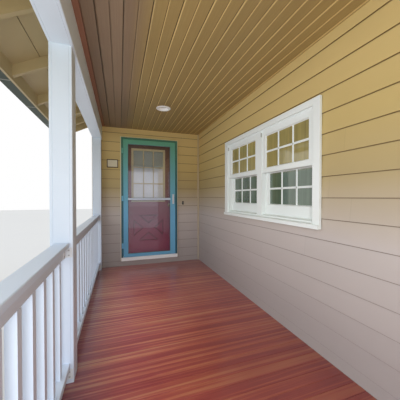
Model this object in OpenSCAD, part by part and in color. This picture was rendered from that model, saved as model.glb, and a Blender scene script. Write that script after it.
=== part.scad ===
// Front porch in the corner of two lap-sided house walls: a two-bay covered walk with boxed
// posts and beam, square-baluster railings, an open eave with exposed rafters and a gutter,
// a twin double-hung window in the house wall, and a storm door over a nine-pane entry door.
// Millimetres. +Y runs along the walk to the door wall, +X across it to the house wall, +Z up.

/* [Walk] */
// Clear width of the walk, from the posts to the house wall
walk_w = 1737; // [1600:1:2200]
// Spacing of the posts, centre to centre
bay_l = 2470; // [2300:10:2600]
// Height of the walk's floor above the ground
deck_h = 280; // [250:5:450]
// Height of the boarded ceiling above the floor
ceiling_h = 2410; // [2380:5:2500]
// Thickness of the boarded ceiling
ceiling_t = 12; // [9:1:20]

/* [Deck] */
// Thickness of the floor boards
floor_t = 22; // [18:1:30]
// How far the floor boards run out past the skirts
floor_nose = 25; // [10:1:40]
// Depth of the floor joists
joist_d = 184; // [140:1:200]
// Width of a floor joist
joist_w = 38; // [30:1:50]
// Width of the girder under the posts
girder_w = 114; // [76:1:130]
// Number of joists between the girder and the house wall
joist_count = 4; // [3:1:6]
// Thickness of the skirt boards
skirt_t = 19; // [15:1:30]
// Gap between the skirt boards and the ground
skirt_lift = 12; // [5:1:25]
// Side of a square pier
pier_w = 200; // [150:5:260]

/* [Posts and beam] */
// Side of a square boxed post
post_w = 131; // [115:1:160]
// How far the beam hangs below the ceiling
beam_drop = 228; // [180:1:260]
// How far the beams stand in over the walk, past the posts
beam_in = 12; // [2:1:20]
// How much the long edges of posts, rail caps and plates are eased
ease = 3; // [1:0.5:5]

/* [Railing] */
// Height of the top of the railing above the floor
rail_h = 916; // [850:1:1070]
// Width of the flat cap board
cap_w = 89; // [80:1:130]
// Thickness of the flat cap board
cap_t = 31; // [19:1:38]
// Thickness of the rails that stand on edge, and side of a baluster
rail_t = 38; // [30:1:45]
// Depth of the rail under the cap
rail_d = 66; // [60:1:100]
// Width of the flat plate that the balusters stand on
plate_w = 89; // [70:1:110]
// Thickness of the plate that the balusters stand on
plate_t = 38; // [25:1:40]
// Depth of the bottom rail, under the plate
shoe_d = 86; // [60:1:95]
// Gap between the bottom rail and the floor
shoe_lift = 6; // [3:1:12]
// Widest clear gap between two balusters
baluster_gap = 111; // [85:1:115]
// Length of an angle bracket's leg along the rail
bracket_l = 56; // [40:1:70]
// Width of an angle bracket's leg on the post
bracket_w = 42; // [30:1:48]
// Height of an angle bracket
bracket_h = 64; // [45:1:75]
// Thickness of an angle bracket
bracket_t = 3; // [2:0.5:4]

/* [Roof] */
// Rise of the roof for each unit of run
roof_slope = 0.5; // [0.42:0.01:0.55]
// How far the rafters run out past the posts
eave_over = 472; // [350:1:600]
// How far the rafters' lower edge at the fascia lies below the ceiling
eave_drop = 132; // [90:1:140]
// Width of a rafter
rafter_w = 38; // [30:1:50]
// Depth of a rafter, square to its length
rafter_d = 89; // [80:1:140]
// Spacing of the rafters, centre to centre
rafter_pitch = 670; // [400:1:700]
// Distance from the door wall to the first rafter that stands clear of it
rafter_first = 425; // [200:5:600]
// Depth of the level seat cut in each rafter
seat_d = 25; // [15:1:35]
// Thickness of the roof boards
sheath_t = 16; // [12:1:25]
// How far the roof boards run out past the fascia
sheath_drip = 15; // [8:1:25]
// Length of each shingle course that shows, along the slope
shingle_show = 140; // [110:1:180]
// Thickness of a shingle at its lower edge
shingle_t = 9; // [6:1:14]
// How far the shingles run out past the roof boards
shingle_drip = 12; // [5:1:20]
// Thickness of the fascia board
fascia_t = 20; // [16:1:28]
// How far the fascia hangs below the rafters
fascia_drop = 33; // [30:1:70]
// How far the roof runs out past the near post
rake_over = 150; // [80:5:250]
// Thickness of the rake board
rake_t = 20; // [16:1:28]
// Depth of the rake board
rake_d = 140; // [110:1:180]
// Thickness of the framed gable infill
gable_t = 38; // [30:1:50]

/* [Gutter] */
// Width of the gutter across its top
gutter_w = 127; // [110:1:150]
// Width of the gutter's flat bottom
gutter_floor = 92; // [70:1:95]
// Height of the gutter
gutter_h = 95; // [80:1:110]
// How far the gutter's bottom lies below the rafters' lower edge
gutter_drop = 33; // [28:1:53]
// Thickness of the gutter's wall
gutter_t = 2.5; // [2:0.5:4]

/* [Walls] */
// Thickness of the house walls
wall_t = 165; // [140:1:200]
// Height of the siding boards that shows in each course
lap_h = 159.6; // [120:0.1:200]
// Height of the first butt line above the floor
lap_first = 90; // [40:1:150]
// How far each siding board's top lies behind its butt
lap_lean = 8; // [4:1:12]

/* [Window] */
// Distance from the door wall to the window's outer casing
win_far = 1247; // [900:1:1400]
// Width of the window over its casings
win_w = 1675; // [1500:1:1900]
// Height of the window's bottom above the floor
win_z = 964; // [800:1:1000]
// Height of the window over its casings
win_h = 1018; // [950:1:1300]
// Width of the side casings
casing_w = 69; // [50:1:90]
// Width of the head casing
casing_head = 52; // [50:1:80]
// Thickness of the casings
casing_t = 20; // [15:1:25]
// Thickness of the window's side jambs
win_jamb = 22; // [18:1:30]
// Height of the stepped head jamb
win_head = 16; // [12:1:60]
// Depth of the step in the head jamb
head_step = 8; // [6:1:25]
// Width of the mullion between the two units
mull_w = 93; // [70:1:130]
// Thickness of the window sill at its inner edge
sill_in = 74; // [66:1:90]
// Thickness of the window sill at its outer edge
sill_out = 32; // [20:1:34]
// How much the sill's outer part falls towards its edge
sill_fall = 10; // [6:1:12]
// Height of each of the two steps in the sill
sill_step = 10; // [6:1:10]
// How far the sill stands out from the wall
sill_nose = 36; // [28:1:50]
// Width of a sash's stiles
stile_w = 45; // [35:1:55]
// Width of the upper sash's top rail
sash_top = 50; // [38:1:60]
// Width of the rails that meet in the middle
meet_w = 50; // [38:1:60]
// Width of the lower sash's bottom rail
sash_foot = 92; // [70:1:120]
// Height of the lower sash's glass
low_glass_h = 338; // [280:1:360]
// Thickness of a sash
sash_t = 42; // [28:1:46]
// How far the outer sash lies behind the wall's face
sash_back = 8; // [6:1:34]
// Gap between the two sashes
sash_gap = 2; // [1:1:4]
// Thickness of the window glass
pane_t = 6; // [4:1:12]

/* [Inside trim] */
// Width of the inside casings
trim_w = 60; // [45:1:90]
// Thickness of the inside casings
trim_t = 15; // [10:1:20]
// How far the inside window board stands out from the wall
board_reach = 45; // [30:1:60]
// Thickness of the inside window board
board_t = 25; // [18:1:30]

/* [Door frame] */
// Distance from the posts' line to the door frame
door_x = 314; // [200:1:400]
// Width of the door frame
door_w = 994; // [960:1:1100]
// Distance from the ceiling down to the door frame's top
door_drop = 158; // [110:1:170]
// Width of the door frame's jambs and head
jamb_w = 30; // [24:1:40]
// How far the door frame stands out from the wall
frame_out = 28; // [20:1:40]
// Height of the riser under the door
riser_h = 92; // [60:1:120]
// Height of the metal threshold
sill_h = 60; // [40:1:70]
// How far the threshold stands out past the door frame
sill_out_y = 8; // [4:1:20]
// Width of the thin casing round the door frame
reveal_w = 16; // [10:1:22]
// Thickness of the thin casing round the door frame
reveal_t = 14; // [10:1:20]
// Width of the door stop
stop_w = 12; // [8:1:16]
// Depth of the door stop
stop_t = 15; // [10:1:20]
// Clearance round each door
door_gap = 5; // [5:0.5:6]
// Clearance at each door's latch edge, a little more so that it can swing
latch_gap = 7; // [7:0.5:9]

/* [Storm door] */
// Thickness of the storm door
storm_t = 32; // [25:1:38]
// Width of the storm door's hinge stile
storm_hinge_stile = 77; // [60:1:100]
// Width of the storm door's latch stile
storm_latch_stile = 95; // [70:1:110]
// Height of the storm door's bottom rail
storm_foot = 54; // [45:1:120]
// Height of the storm door's top rail
storm_head = 78; // [50:1:100]
// Height of the middle bar's lower edge above the floor
storm_bar_z = 1158; // [1100:1:1200]
// Height of the middle bar
storm_bar = 32; // [25:1:45]
// Thickness of the storm door's glass
storm_glass_t = 4; // [3:1:6]
// Height of the handle's plate
handle_h = 180; // [140:1:200]
// Width of the handle's plate
handle_w = 34; // [30:1:50]
// Thickness of the handle's plate
handle_t = 8; // [5:1:10]
// How far the handle's grip stands out from its plate
handle_reach = 36; // [28:1:45]
// Height of the handle's middle above the floor
handle_z = 1172; // [1000:1:1200]
// Distance from the storm door's latch edge to the handle's middle
handle_back = 41; // [25:1:50]

/* [Entry door] */
// Thickness of the entry door
entry_t = 44; // [38:1:50]
// Width of the window in the entry door, over its frame
lite_w = 614; // [560:1:640]
// How far the door's window and crossed panel sit off its middle, towards the hinges
lite_shift = 12; // [0:1:20]
// Height of the window in the entry door, over its frame
lite_h = 976; // [880:1:990]
// Distance from the entry door's top edge down to its window's frame
lite_drop = 121; // [101:1:150]
// Width of the door window's frame
lite_frame = 38; // [30:1:45]
// How far the door window's frame laps over the door
lite_lap = 24; // [15:1:28]
// How far the door window's frame stands out from the door
lite_out = 10; // [6:1:14]
// Thickness of the door window's glass
lite_glass_t = 12; // [6:1:16]
// Height of the crossed panel's bottom above the floor
cross_z = 400; // [340:1:420]
// Distance from the crossed panel's top up to the door window's frame
cross_gap = 231; // [150:1:250]
// Width of the bars that cross in the panel
cross_bar = 103; // [80:1:150]
// Depth of the panel's hollows
cross_d = 8; // [5:1:10]
// Distance from the latch edge to the knob's middle
knob_back = 83; // [70:1:95]
// Height of the knob above the floor
knob_z = 1057; // [1000:1:1080]
// Radius of the knob
knob_r = 27; // [22:1:30]
// Radius of the knob's rose
rose_r = 32; // [26:1:36]
// How far the knob stands out from the door
knob_reach = 62; // [55:1:70]

/* [Hinges] */
// Number of hinges on each door
hinge_count = 3; // [2:1:4]
// Distance from a door's end to the middle of its end hinge
hinge_in = 200; // [150:5:260]
// Length of a hinge's barrel
barrel_l = 90; // [75:1:110]
// Radius of the storm door's hinge barrels
storm_barrel_r = 7; // [6:0.5:8]
// Radius of the entry door's hinge barrels
entry_barrel_r = 6; // [5:0.5:6]
// Radius of the hinge pins
hinge_pin_r = 3; // [2:0.5:3.5]
// Radial clearance between a hinge pin and its bore
pin_gap = 0.1; // [0.05:0.05:0.2]
// Clearance between two knuckles, and between a barrel and the faces beside it
knuckle_gap = 0.3; // [0.2:0.1:0.6]
// Thickness of a hinge plate
hinge_plate_t = 2; // [1.5:0.5:2]
// Width of the storm door's hinge plates
hinge_plate_w = 17; // [12:1:20]

/* [Ceiling light] */
// Distance from the posts' line to the light's middle
light_x = 854; // [500:1:1200]
// Distance from the door wall to the light's middle
light_y = 1130; // [600:1:2000]
// Radius of the light's trim ring
light_ring_r = 98; // [80:1:110]
// Radius of the light's can
light_can_r = 75; // [60:1:80]
// Depth of the light's can above the ceiling
light_can_h = 120; // [60:5:150]
// Thickness of the light's trim ring
light_ring_t = 5; // [3:1:8]
// Depth of the recess in the light
light_recess = 35; // [20:1:50]
// Clearance between the light's can and the ceiling
can_gap = 0.3; // [0.2:0.1:1]

/* [Hidden] */
$fn = 48;
eps = 0.01;

// Lengths and edges of the whole
house_l = 2 * bay_l + post_w;
wall_back = walk_w + wall_t;
fascia_x = -post_w - eave_over;
fascia_out = fascia_x - fascia_t;
sheath_x = fascia_out - sheath_drip;
shingle_x = sheath_x - shingle_drip;
rake_in_y = -house_l - rake_over;
rake_out_y = rake_in_y - rake_t;
shingle_y = rake_out_y - shingle_drip;
skirt_out = -post_w - skirt_t;
end_beam_y = -house_l + post_w + beam_in;

// Distances from the door wall to the rafters: one against that wall, then even spaces
RAFTERS = concat([0], [for (y = [rafter_first : rafter_pitch : house_l - gable_t - rafter_w]) y]);

// Roof lines: the rafters' lower edge and what lies on it, as heights over x
slope_angle = atan(roof_slope);
rafter_rise = rafter_d / cos(slope_angle);
sheath_rise = sheath_t / cos(slope_angle);
shingle_rise = shingle_t / cos(slope_angle);
function under(x) = eave_z + roof_slope * (x - fascia_x);
function sheath_z(x) = under(x) + rafter_rise;
function roof_z(x) = sheath_z(x) + sheath_rise;
eave_z = ceiling_h - eave_drop;
gutter_z = eave_z - gutter_drop;
beam_z = ceiling_h - beam_drop;
beam_top = under(-post_w) + seat_d;
wall_top = under(walk_w) + seat_d;

// Window places, along y and z, inside the casings
win_y0 = -(win_far + win_w) + casing_w;
win_y1 = -win_far - casing_w;
win_top = win_z + win_h - casing_head;
unit_w = (win_y1 - win_y0 - 2 * win_jamb - mull_w) / 2;
UNITS = [win_y0 + win_jamb, win_y1 - win_jamb - unit_w];
sash_z0 = win_z + sill_in;
sash_z1 = win_top - win_head;
meet_z0 = sash_z0 + sash_foot + low_glass_h;
meet_z1 = meet_z0 + meet_w;
outer_sash_x = walk_w + sash_back;
inner_sash_x = outer_sash_x + sash_t + sash_gap;

// Door places
door_top = ceiling_h - door_drop;
open_x0 = door_x + jamb_w;
open_x1 = door_x + door_w - jamb_w;
open_z0 = riser_h + sill_h;
open_z1 = door_top - jamb_w;
leaf_x0 = open_x0 + door_gap;
leaf_x1 = open_x1 - latch_gap;
leaf_z0 = open_z0 + door_gap;
leaf_z1 = open_z1 - door_gap;
storm_y0 = -frame_out;
storm_y1 = storm_y0 + storm_t;
storm_glass_x0 = leaf_x0 + storm_hinge_stile;
storm_glass_x1 = leaf_x1 - storm_latch_stile;
storm_glass_z0 = leaf_z0 + storm_foot;
storm_glass_z1 = leaf_z1 - storm_head;
entry_y1 = wall_t;
entry_y0 = entry_y1 - entry_t;
lite_x0 = (leaf_x0 + leaf_x1 - lite_w) / 2 - lite_shift;
lite_z = leaf_z1 - lite_drop - lite_h;
cross_h = lite_z - cross_gap - cross_z;
knob_x = leaf_x1 - knob_back;
hinge_x = open_x0 + door_gap / 2;
storm_hinge_y = storm_y0 - storm_barrel_r - knuckle_gap;
entry_hinge_y = entry_y1 + entry_barrel_r + knuckle_gap;
hinge_step = (leaf_z1 - leaf_z0 - 2 * hinge_in) / (hinge_count - 1);
HINGE_Z = [for (i = [0:hinge_count - 1]) leaf_z0 + hinge_in + i * hinge_step];
knuckle_l = barrel_l / 3;

// Deck places
joist_z = -floor_t - joist_d;
girder_in = girder_w - post_w;
function joist_x(i) = girder_in + i * (walk_w - joist_w - girder_in) / joist_count;

// Railing places
baluster_count = ceil((bay_l - post_w - baluster_gap) / (rail_t + baluster_gap));
baluster_step = (bay_l - post_w + rail_t) / (baluster_count + 1);
rail_y = -post_w / 2;
rail_x = -post_w / 2;
rail_top = rail_h - cap_t;
plate_top = shoe_lift + shoe_d + plate_t;

// The model's box, so that it stands on the middle of its base
x_low = fascia_out - gutter_w;
x_high = wall_back + board_reach;
y_low = shingle_y;
y_high = wall_t + knob_reach;
origin = [(x_low + x_high) / 2, (y_low + y_high) / 2, -deck_h];

// Colours, as they show
WHITE = "#e6e9ef";
SIDING = "#a99c86";
EAVE = "#8f8667";
FLOOR = "#8a4034";
CREAM = "#ddd6bd";
TEAL = "#2f7f86";
METAL = "#b9bcbd";
GLASS = "#9fb4bf";
CONCRETE = "#9b9a94";

// Moves the walk's corner, where the posts' line meets the door wall, off the model's origin
module placed() {
    translate(-origin) children();
}

// A box between two opposite corners
module block(low, high) {
    translate(low) cube(high - low);
}

// An oblong between two corners with its own corners eased
module eased(low, high) {
    e = ease;
    polygon([
        [low.x + e, low.y], [high.x - e, low.y], [high.x, low.y + e], [high.x, high.y - e],
        [high.x - e, high.y], [low.x + e, high.y], [low.x, high.y - e], [low.x, low.y + e]]);
}

// Carries an outline drawn in x and z along y, from y0 to y1
module along_y(y0, y1) {
    translate([0, y1, 0]) rotate([90, 0, 0]) linear_extrude(y1 - y0) children();
}

// Carries an outline drawn in y and z along x, from x0 to x1
module along_x(x0, x1) {
    translate([x0, 0, 0]) rotate([90, 0, 90]) linear_extrude(x1 - x0) children();
}

// A frame of four members round an opening, in the plane of y and z or of x and z
module door_ring(outer_x, outer_z, inner_x, inner_z, y0, y1) {
    difference() {
        block([outer_x[0], y0, outer_z[0]], [outer_x[1], y1, outer_z[1]]);
        block([inner_x[0], y0 - 1, inner_z[0]], [inner_x[1], y1 + 1, inner_z[1]]);
    }
}

// Siding: butt lines between two heights, and how far the face has leaned back at a height
function lap_count(z) = (z - lap_first) / lap_h;
function lean_at(z) = lap_lean * (lap_count(z) - floor(lap_count(z)));
function butts(z0, z1) =
    [for (k = [ceil(lap_count(z0) + eps) : floor(lap_count(z1) - eps)]) lap_first + k * lap_h];

// Outline of a wall with lap siding from z0 to z_lap and a plain face above it, up to z1
function wall_outline(z0, z_lap, z1) = concat(
    [[wall_t, z0], [lean_at(z0), z0]],
    [for (z = butts(z0, z_lap)) each [[lap_lean, z], [0, z]]],
    [[lean_at(z_lap), z_lap]],
    z1 > z_lap ? [[0, z_lap], [0, z1]] : [],
    [[wall_t, z1]]);

module house_wall(y0, y1, z0, z1) {
    along_y(y0, y1) translate([walk_w, 0]) polygon(wall_outline(z0, min(z1, ceiling_h), z1));
}

module end_wall(x0, x1, z0, z1) {
    along_x(x0, x1) polygon(wall_outline(z0, z1, z1));
}

// Outline of the wall over the walk, from a level bottom to the roof boards
module gable_outline(z0) {
    polygon([
        [-post_w, z0], [walk_w, z0], [walk_w, wall_top], [wall_back, wall_top],
        [wall_back, sheath_z(wall_back)], [-post_w, sheath_z(-post_w)]]);
}

// Walls and what they stand on

module house_foundation() {
    color(CONCRETE) block([walk_w, -house_l, -deck_h], [wall_back, wall_t, 0]);
}

module end_foundation() {
    color(CONCRETE) block([-post_w, 0, -deck_h], [walk_w, wall_t, 0]);
}

module house_wall_near() {
    color(SIDING) house_wall(-house_l, win_y0, 0, wall_top);
}

module house_wall_corner() {
    color(SIDING) house_wall(win_y1, wall_t, 0, wall_top);
}

module house_wall_under_window() {
    color(SIDING) house_wall(win_y0, win_y1, 0, win_z);
}

module house_wall_over_window() {
    color(SIDING) house_wall(win_y0, win_y1, win_top, wall_top);
}

module end_wall_left() {
    color(SIDING) end_wall(-post_w, door_x, 0, door_top);
}

module end_wall_right() {
    color(SIDING) end_wall(door_x + door_w, walk_w, 0, door_top);
}

module end_wall_over_door() {
    color(SIDING) intersection() {
        along_y(0, wall_t) gable_outline(door_top);
        along_x(-post_w, wall_back)
            polygon(wall_outline(door_top, ceiling_h, sheath_z(wall_back)));
    }
}

// Deck

// Piers under the girder and under a joist, at both ends and at the middle post
module porch_piers() {
    mid_y = -(house_l + pier_w) / 2;
    joist_mid = joist_x(ceil(joist_count / 2)) + joist_w / 2;
    color(CONCRETE) for (x = [-post_w, joist_mid - pier_w / 2], y = [-house_l, mid_y, -pier_w])
        block([x, y, -deck_h], [x + pier_w, y + pier_w, joist_z]);
}

module deck_joists() {
    color("#a88d66") {
        block([-post_w, -house_l, joist_z], [girder_in, 0, -floor_t]);
        for (i = [1:joist_count])
            block([joist_x(i), -house_l, joist_z], [joist_x(i) + joist_w, 0, -floor_t]);
    }
}

module side_skirt() {
    color(WHITE) block([skirt_out, -house_l, -deck_h + skirt_lift], [-post_w, 0, -floor_t]);
}

module end_skirt() {
    color(WHITE)
        block([skirt_out, -house_l - skirt_t, -deck_h + skirt_lift], [walk_w, -house_l, -floor_t]);
}

module porch_floor() {
    color(FLOOR)
        block([skirt_out - floor_nose, -house_l - skirt_t - floor_nose, -floor_t], [walk_w, 0, 0]);
}

// Posts, beams and railing

module posts() {
    color(WHITE) for (i = [0:2]) {
        y = -i * bay_l;
        linear_extrude(beam_z) eased([-post_w, y - post_w], [0, y]);
    }
}

module front_beam() {
    color(WHITE) block([-post_w, -house_l, beam_z], [beam_in, 0, beam_top]);
}

module end_beam() {
    color(WHITE) block([beam_in, -house_l, beam_z], [walk_w, end_beam_y, beam_top]);
}

// A board along both bays, between the posts, as wide as w and from z0 to z1
module bay_boards(w, z0, z1) {
    for (i = [0:1]) {
        y = -post_w - i * bay_l;
        along_y(y - bay_l + post_w, y) eased([rail_x - w / 2, z0], [rail_x + w / 2, z1]);
    }
}

module rail_caps() {
    color(WHITE) bay_boards(cap_w, rail_top, rail_h);
}

module top_rails() {
    color(WHITE) bay_boards(rail_t, rail_top - rail_d, rail_top);
}

module bottom_plates() {
    color(WHITE) bay_boards(plate_w, plate_top - plate_t, plate_top);
}

module bottom_rails() {
    color(WHITE) bay_boards(rail_t, shoe_lift, shoe_lift + shoe_d);
}

// The balusters of one bay, at even gaps between its posts
module balusters(bay) {
    y_start = -post_w - bay * bay_l;
    for (i = [1:baluster_count]) {
        y = y_start - i * baluster_step;
        block([rail_x - rail_t / 2, y, plate_top],
            [rail_x + rail_t / 2, y + rail_t, rail_top - rail_d]);
    }
}

module balusters_far() {
    color(WHITE) balusters(0);
}

module balusters_near() {
    color(WHITE) balusters(1);
}

// An angle bracket in the corner at the origin: one leg on the rail's side, one on the post
module angle_bracket() {
    block([0, 0, 0], [bracket_t, bracket_l, bracket_h]);
    block([0, 0, 0], [bracket_w, bracket_t, bracket_h]);
}

module rail_brackets() {
    rail_face = rail_x + rail_t / 2;
    top_z = rail_top - bracket_h;
    foot_z = plate_top - plate_t - bracket_h;
    color(WHITE) for (i = [0:1], z = [top_z, foot_z]) {
        y_far = -post_w - i * bay_l;
        y_near = y_far - bay_l + post_w;
        translate([rail_face, y_near, z]) angle_bracket();
        translate([rail_face, y_far, z]) mirror([0, 1, 0]) angle_bracket();
    }
}

// Ceiling and roof

module porch_ceiling() {
    color("#a58a6e") difference() {
        block([beam_in, end_beam_y, ceiling_h], [walk_w, 0, ceiling_h + ceiling_t]);
        translate([light_x, -light_y, ceiling_h - 1]) cylinder(r = light_can_r, h = ceiling_t + 2);
    }
}

// A turned can with a trim ring under the ceiling and a stepped baffle inside
module ceiling_light() {
    can_r = light_can_r - can_gap;
    mouth_r = light_can_r - 6;
    lens_r = light_can_r - 12;
    lens_z = light_recess - light_ring_t;
    color(WHITE) translate([light_x, -light_y, ceiling_h]) rotate_extrude() polygon([
        [0, lens_z], [lens_r, lens_z], [mouth_r, -light_ring_t],
        [light_ring_r - light_ring_t, -light_ring_t], [light_ring_r, 0], [can_r, 0],
        [can_r, light_can_h], [0, light_can_h]]);
}

// One rafter's outline, with a level seat over the beam and over the house wall
function rafter_outline() = [
    [fascia_x, under(fascia_x)],
    [-post_w, under(-post_w)],
    [-post_w, beam_top],
    [-post_w + seat_d / roof_slope, beam_top],
    [walk_w, under(walk_w)],
    [walk_w, wall_top],
    [walk_w + seat_d / roof_slope, wall_top],
    [wall_back, under(wall_back)],
    [wall_back, sheath_z(wall_back)],
    [fascia_x, sheath_z(fascia_x)]];

module rafters() {
    color(EAVE) for (y = RAFTERS) along_y(-y - rafter_w, -y) polygon(rafter_outline());
}

// Blocks that close the gaps between rafters, over the front beam and at the house wall's back
module rafter_blocks() {
    ends = concat(RAFTERS, [house_l - gable_t]);
    color(EAVE) for (foot = [[-post_w, beam_top], [wall_back - rafter_w, wall_top]])
        for (i = [1:len(RAFTERS)])
            along_y(-ends[i], -ends[i - 1] - rafter_w) polygon([
                foot, foot + [rafter_w, 0], [foot.x + rafter_w, sheath_z(foot.x + rafter_w)],
                [foot.x, sheath_z(foot.x)]]);
}

module roof_boards() {
    color(EAVE) along_y(rake_out_y, wall_t) polygon([
        [sheath_x, sheath_z(sheath_x)], [wall_back, sheath_z(wall_back)],
        [wall_back, roof_z(wall_back)], [sheath_x, roof_z(sheath_x)]]);
}

// Shingle courses as steps up the slope, each thin where the next one covers it
module roof_shingles() {
    run = wall_back - shingle_x;
    step = shingle_show * cos(slope_angle);
    count = ceil(run / step);
    thin = shingle_rise / 3;
    steps = [for (i = [0:count - 1])
        let (x0 = shingle_x + i * step, x1 = min(x0 + step, wall_back))
        each [[x0, roof_z(x0) + shingle_rise], [x1, roof_z(x1) + thin]]];
    color("#4b4a4a") along_y(shingle_y, wall_t)
        polygon(concat([[wall_back, roof_z(wall_back)], [shingle_x, roof_z(shingle_x)]], steps));
}

module eave_fascia() {
    color(EAVE) along_y(rake_in_y, wall_t) polygon([
        [fascia_out, eave_z - fascia_drop], [fascia_x, eave_z - fascia_drop],
        [fascia_x, sheath_z(fascia_x)], [fascia_out, sheath_z(fascia_out)]]);
}

// A sloping board under the roof boards' edge, between two places along x
module rake_board(x0, x1, y0) {
    rise = rake_d / cos(slope_angle);
    along_y(y0, y0 + rake_t) polygon([
        [x0, sheath_z(x0) - rise], [x1, sheath_z(x1) - rise], [x1, sheath_z(x1)],
        [x0, sheath_z(x0)]]);
}

module rake_boards() {
    color(EAVE) {
        rake_board(fascia_out, wall_back, rake_out_y);
        rake_board(fascia_x, -post_w, wall_t - rake_t);
    }
}

module gable_infill() {
    color(SIDING) intersection() {
        along_y(-house_l, -house_l + gable_t) gable_outline(beam_top);
        translate([0, -house_l, 0]) along_x(-post_w, wall_back)
            polygon(wall_outline(beam_top, sheath_z(wall_back), sheath_z(wall_back)));
    }
}

// Gutter: a square back, a flat bottom and a front that curls outwards to its lip.
// The front leaves the bottom upright and swings out along half a cosine wave.
front_foot = 0.3;
front_lip = 0.84;
front_steps = 10;
function front_out(s) = gutter_floor + (gutter_w - gutter_floor) * (1 - cos(180 * s)) / 2;
function front_up(s) = gutter_h * (front_foot + (front_lip - front_foot) * s);
function gutter_front(inset) =
    [for (i = [0:front_steps]) [front_out(i / front_steps) - inset, front_up(i / front_steps)]];
function reversed(list) = [for (i = [len(list) - 1 : -1 : 0]) list[i]];
function gutter_outline() = concat(
    [[0, gutter_h], [0, 0], [gutter_floor, 0]], gutter_front(0), [[gutter_w, gutter_h]]);
function gutter_section() = concat(
    gutter_outline(), [[gutter_w - gutter_t, gutter_h]], reversed(gutter_front(gutter_t)),
    [[gutter_floor - gutter_t, gutter_t], [gutter_t, gutter_t], [gutter_t, gutter_h]]);

module gutter() {
    color("#5d6460") translate([fascia_out, 0, gutter_z]) mirror([1, 0, 0]) {
        along_y(rake_out_y, wall_t) polygon(gutter_section());
        along_y(rake_out_y, rake_out_y + gutter_t) polygon(gutter_outline());
        along_y(wall_t - gutter_t, wall_t) polygon(gutter_outline());
    }
}

// Window

module window_casing() {
    y0 = win_y0 - casing_w;
    y1 = win_y1 + casing_w;
    top = win_z + win_h;
    color(WHITE) difference() {
        block([walk_w - casing_t, y0, win_z + sill_out], [walk_w, y1, top]);
        block([walk_w - casing_t - 1, win_y0, 0], [walk_w + 1, win_y1, win_top]);
    }
}

// The frame is a block with the two units cut through it, stepped at its head, on a sloping sill
// that steps up at the wall's face and again at the lower sashes
module window_frame() {
    nose_x = walk_w - sill_nose;
    face_z = win_z + sill_out + sill_fall;
    sill = [
        [nose_x, win_z], [wall_back, win_z], [wall_back, sash_z0], [inner_sash_x, sash_z0],
        [inner_sash_x, sash_z0 - sill_step], [walk_w, face_z + sill_step], [walk_w, face_z],
        [nose_x, win_z + sill_out]];
    horn = [
        [nose_x, win_z], [walk_w, win_z], [walk_w, win_z + sill_out], [nose_x, win_z + sill_out]];
    color(WHITE) {
        difference() {
            block([walk_w, win_y0, win_z], [wall_back, win_y1, win_top]);
            for (y = UNITS) {
                block([walk_w - 1, y, win_z - 1], [wall_back + 1, y + unit_w, sash_z1]);
                block([walk_w - 1, y, sash_z1 - 1],
                    [walk_w + head_step, y + unit_w, sash_z1 + win_head / 2]);
            }
        }
        along_y(win_y0, win_y1) polygon(sill);
        along_y(win_y0 - casing_w, win_y1 + casing_w) polygon(horn);
    }
}

// One sash in each unit: a frame between z0 and z1 with its rails' widths
module sash_pair(x, z0, z1, foot, head) {
    for (y = UNITS) difference() {
        block([x, y, z0], [x + sash_t, y + unit_w, z1]);
        block([x - 1, y + stile_w, z0 + foot], [x + sash_t + 1, y + unit_w - stile_w, z1 - head]);
    }
}

// One pane in each unit, held in the middle of its sash
module pane_pair(x, z0, z1) {
    x0 = x + (sash_t - pane_t) / 2;
    for (y = UNITS) block([x0, y + stile_w, z0], [x0 + pane_t, y + unit_w - stile_w, z1]);
}

module upper_sashes() {
    color(WHITE) sash_pair(outer_sash_x, meet_z0, sash_z1, meet_w, sash_top);
}

module lower_sashes() {
    color(WHITE) sash_pair(inner_sash_x, sash_z0, meet_z1, sash_foot, meet_w);
}

module window_glass() {
    color(GLASS) {
        pane_pair(outer_sash_x, meet_z1, sash_z1 - sash_top);
        pane_pair(inner_sash_x, sash_z0 + sash_foot, meet_z0);
    }
}

module window_inside_trim() {
    y0 = win_y0 - trim_w;
    y1 = win_y1 + trim_w;
    color(WHITE) {
        difference() {
            block([wall_back, y0, sash_z0], [wall_back + trim_t, y1, win_top + trim_w]);
            block([wall_back - 1, win_y0, 0], [wall_back + trim_t + 1, win_y1, win_top]);
        }
        block([wall_back, y0 - board_t, sash_z0 - board_t],
            [wall_back + board_reach, y1 + board_t, sash_z0]);
    }
}

// Door frame

module door_casing() {
    x0 = door_x - reveal_w;
    x1 = door_x + door_w + reveal_w;
    color(CREAM) difference() {
        block([x0, -reveal_t, riser_h], [x1, 0, door_top + reveal_w]);
        block([door_x, -reveal_t - 1, 0], [door_x + door_w, 1, door_top]);
    }
}

module door_frame() {
    stop_y1 = entry_y0 - door_gap;
    color(TEAL) {
        difference() {
            block([door_x, -frame_out, open_z0], [door_x + door_w, wall_t, door_top]);
            block([open_x0, -frame_out - 1, 0], [open_x1, wall_t + 1, open_z1]);
        }
        difference() {
            block([open_x0 - eps, stop_y1 - stop_t, open_z0], [open_x1 + eps, stop_y1, open_z1 + eps]);
            block([open_x0 + stop_w, 0, 0], [open_x1 - stop_w, wall_t, open_z1 - stop_w]);
        }
    }
}

// A threshold whose top falls a little towards its nose
module door_sill() {
    nose_y = -frame_out - sill_out_y;
    fall = 4;
    color(METAL) along_x(door_x, door_x + door_w) polygon([
        [nose_y, riser_h], [wall_t, riser_h], [wall_t, open_z0], [-frame_out, open_z0],
        [nose_y, open_z0 - fall]]);
}

module door_riser() {
    color(SIDING) block([door_x, 0, 0], [door_x + door_w, wall_t, riser_h]);
}

module door_inside_trim() {
    color(WHITE) difference() {
        block([door_x - trim_w, wall_t, riser_h],
            [door_x + door_w + trim_w, wall_t + trim_t, door_top + trim_w]);
        block([door_x, wall_t - 1, 0], [door_x + door_w, wall_t + trim_t + 1, door_top]);
    }
}

// Storm door

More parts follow.
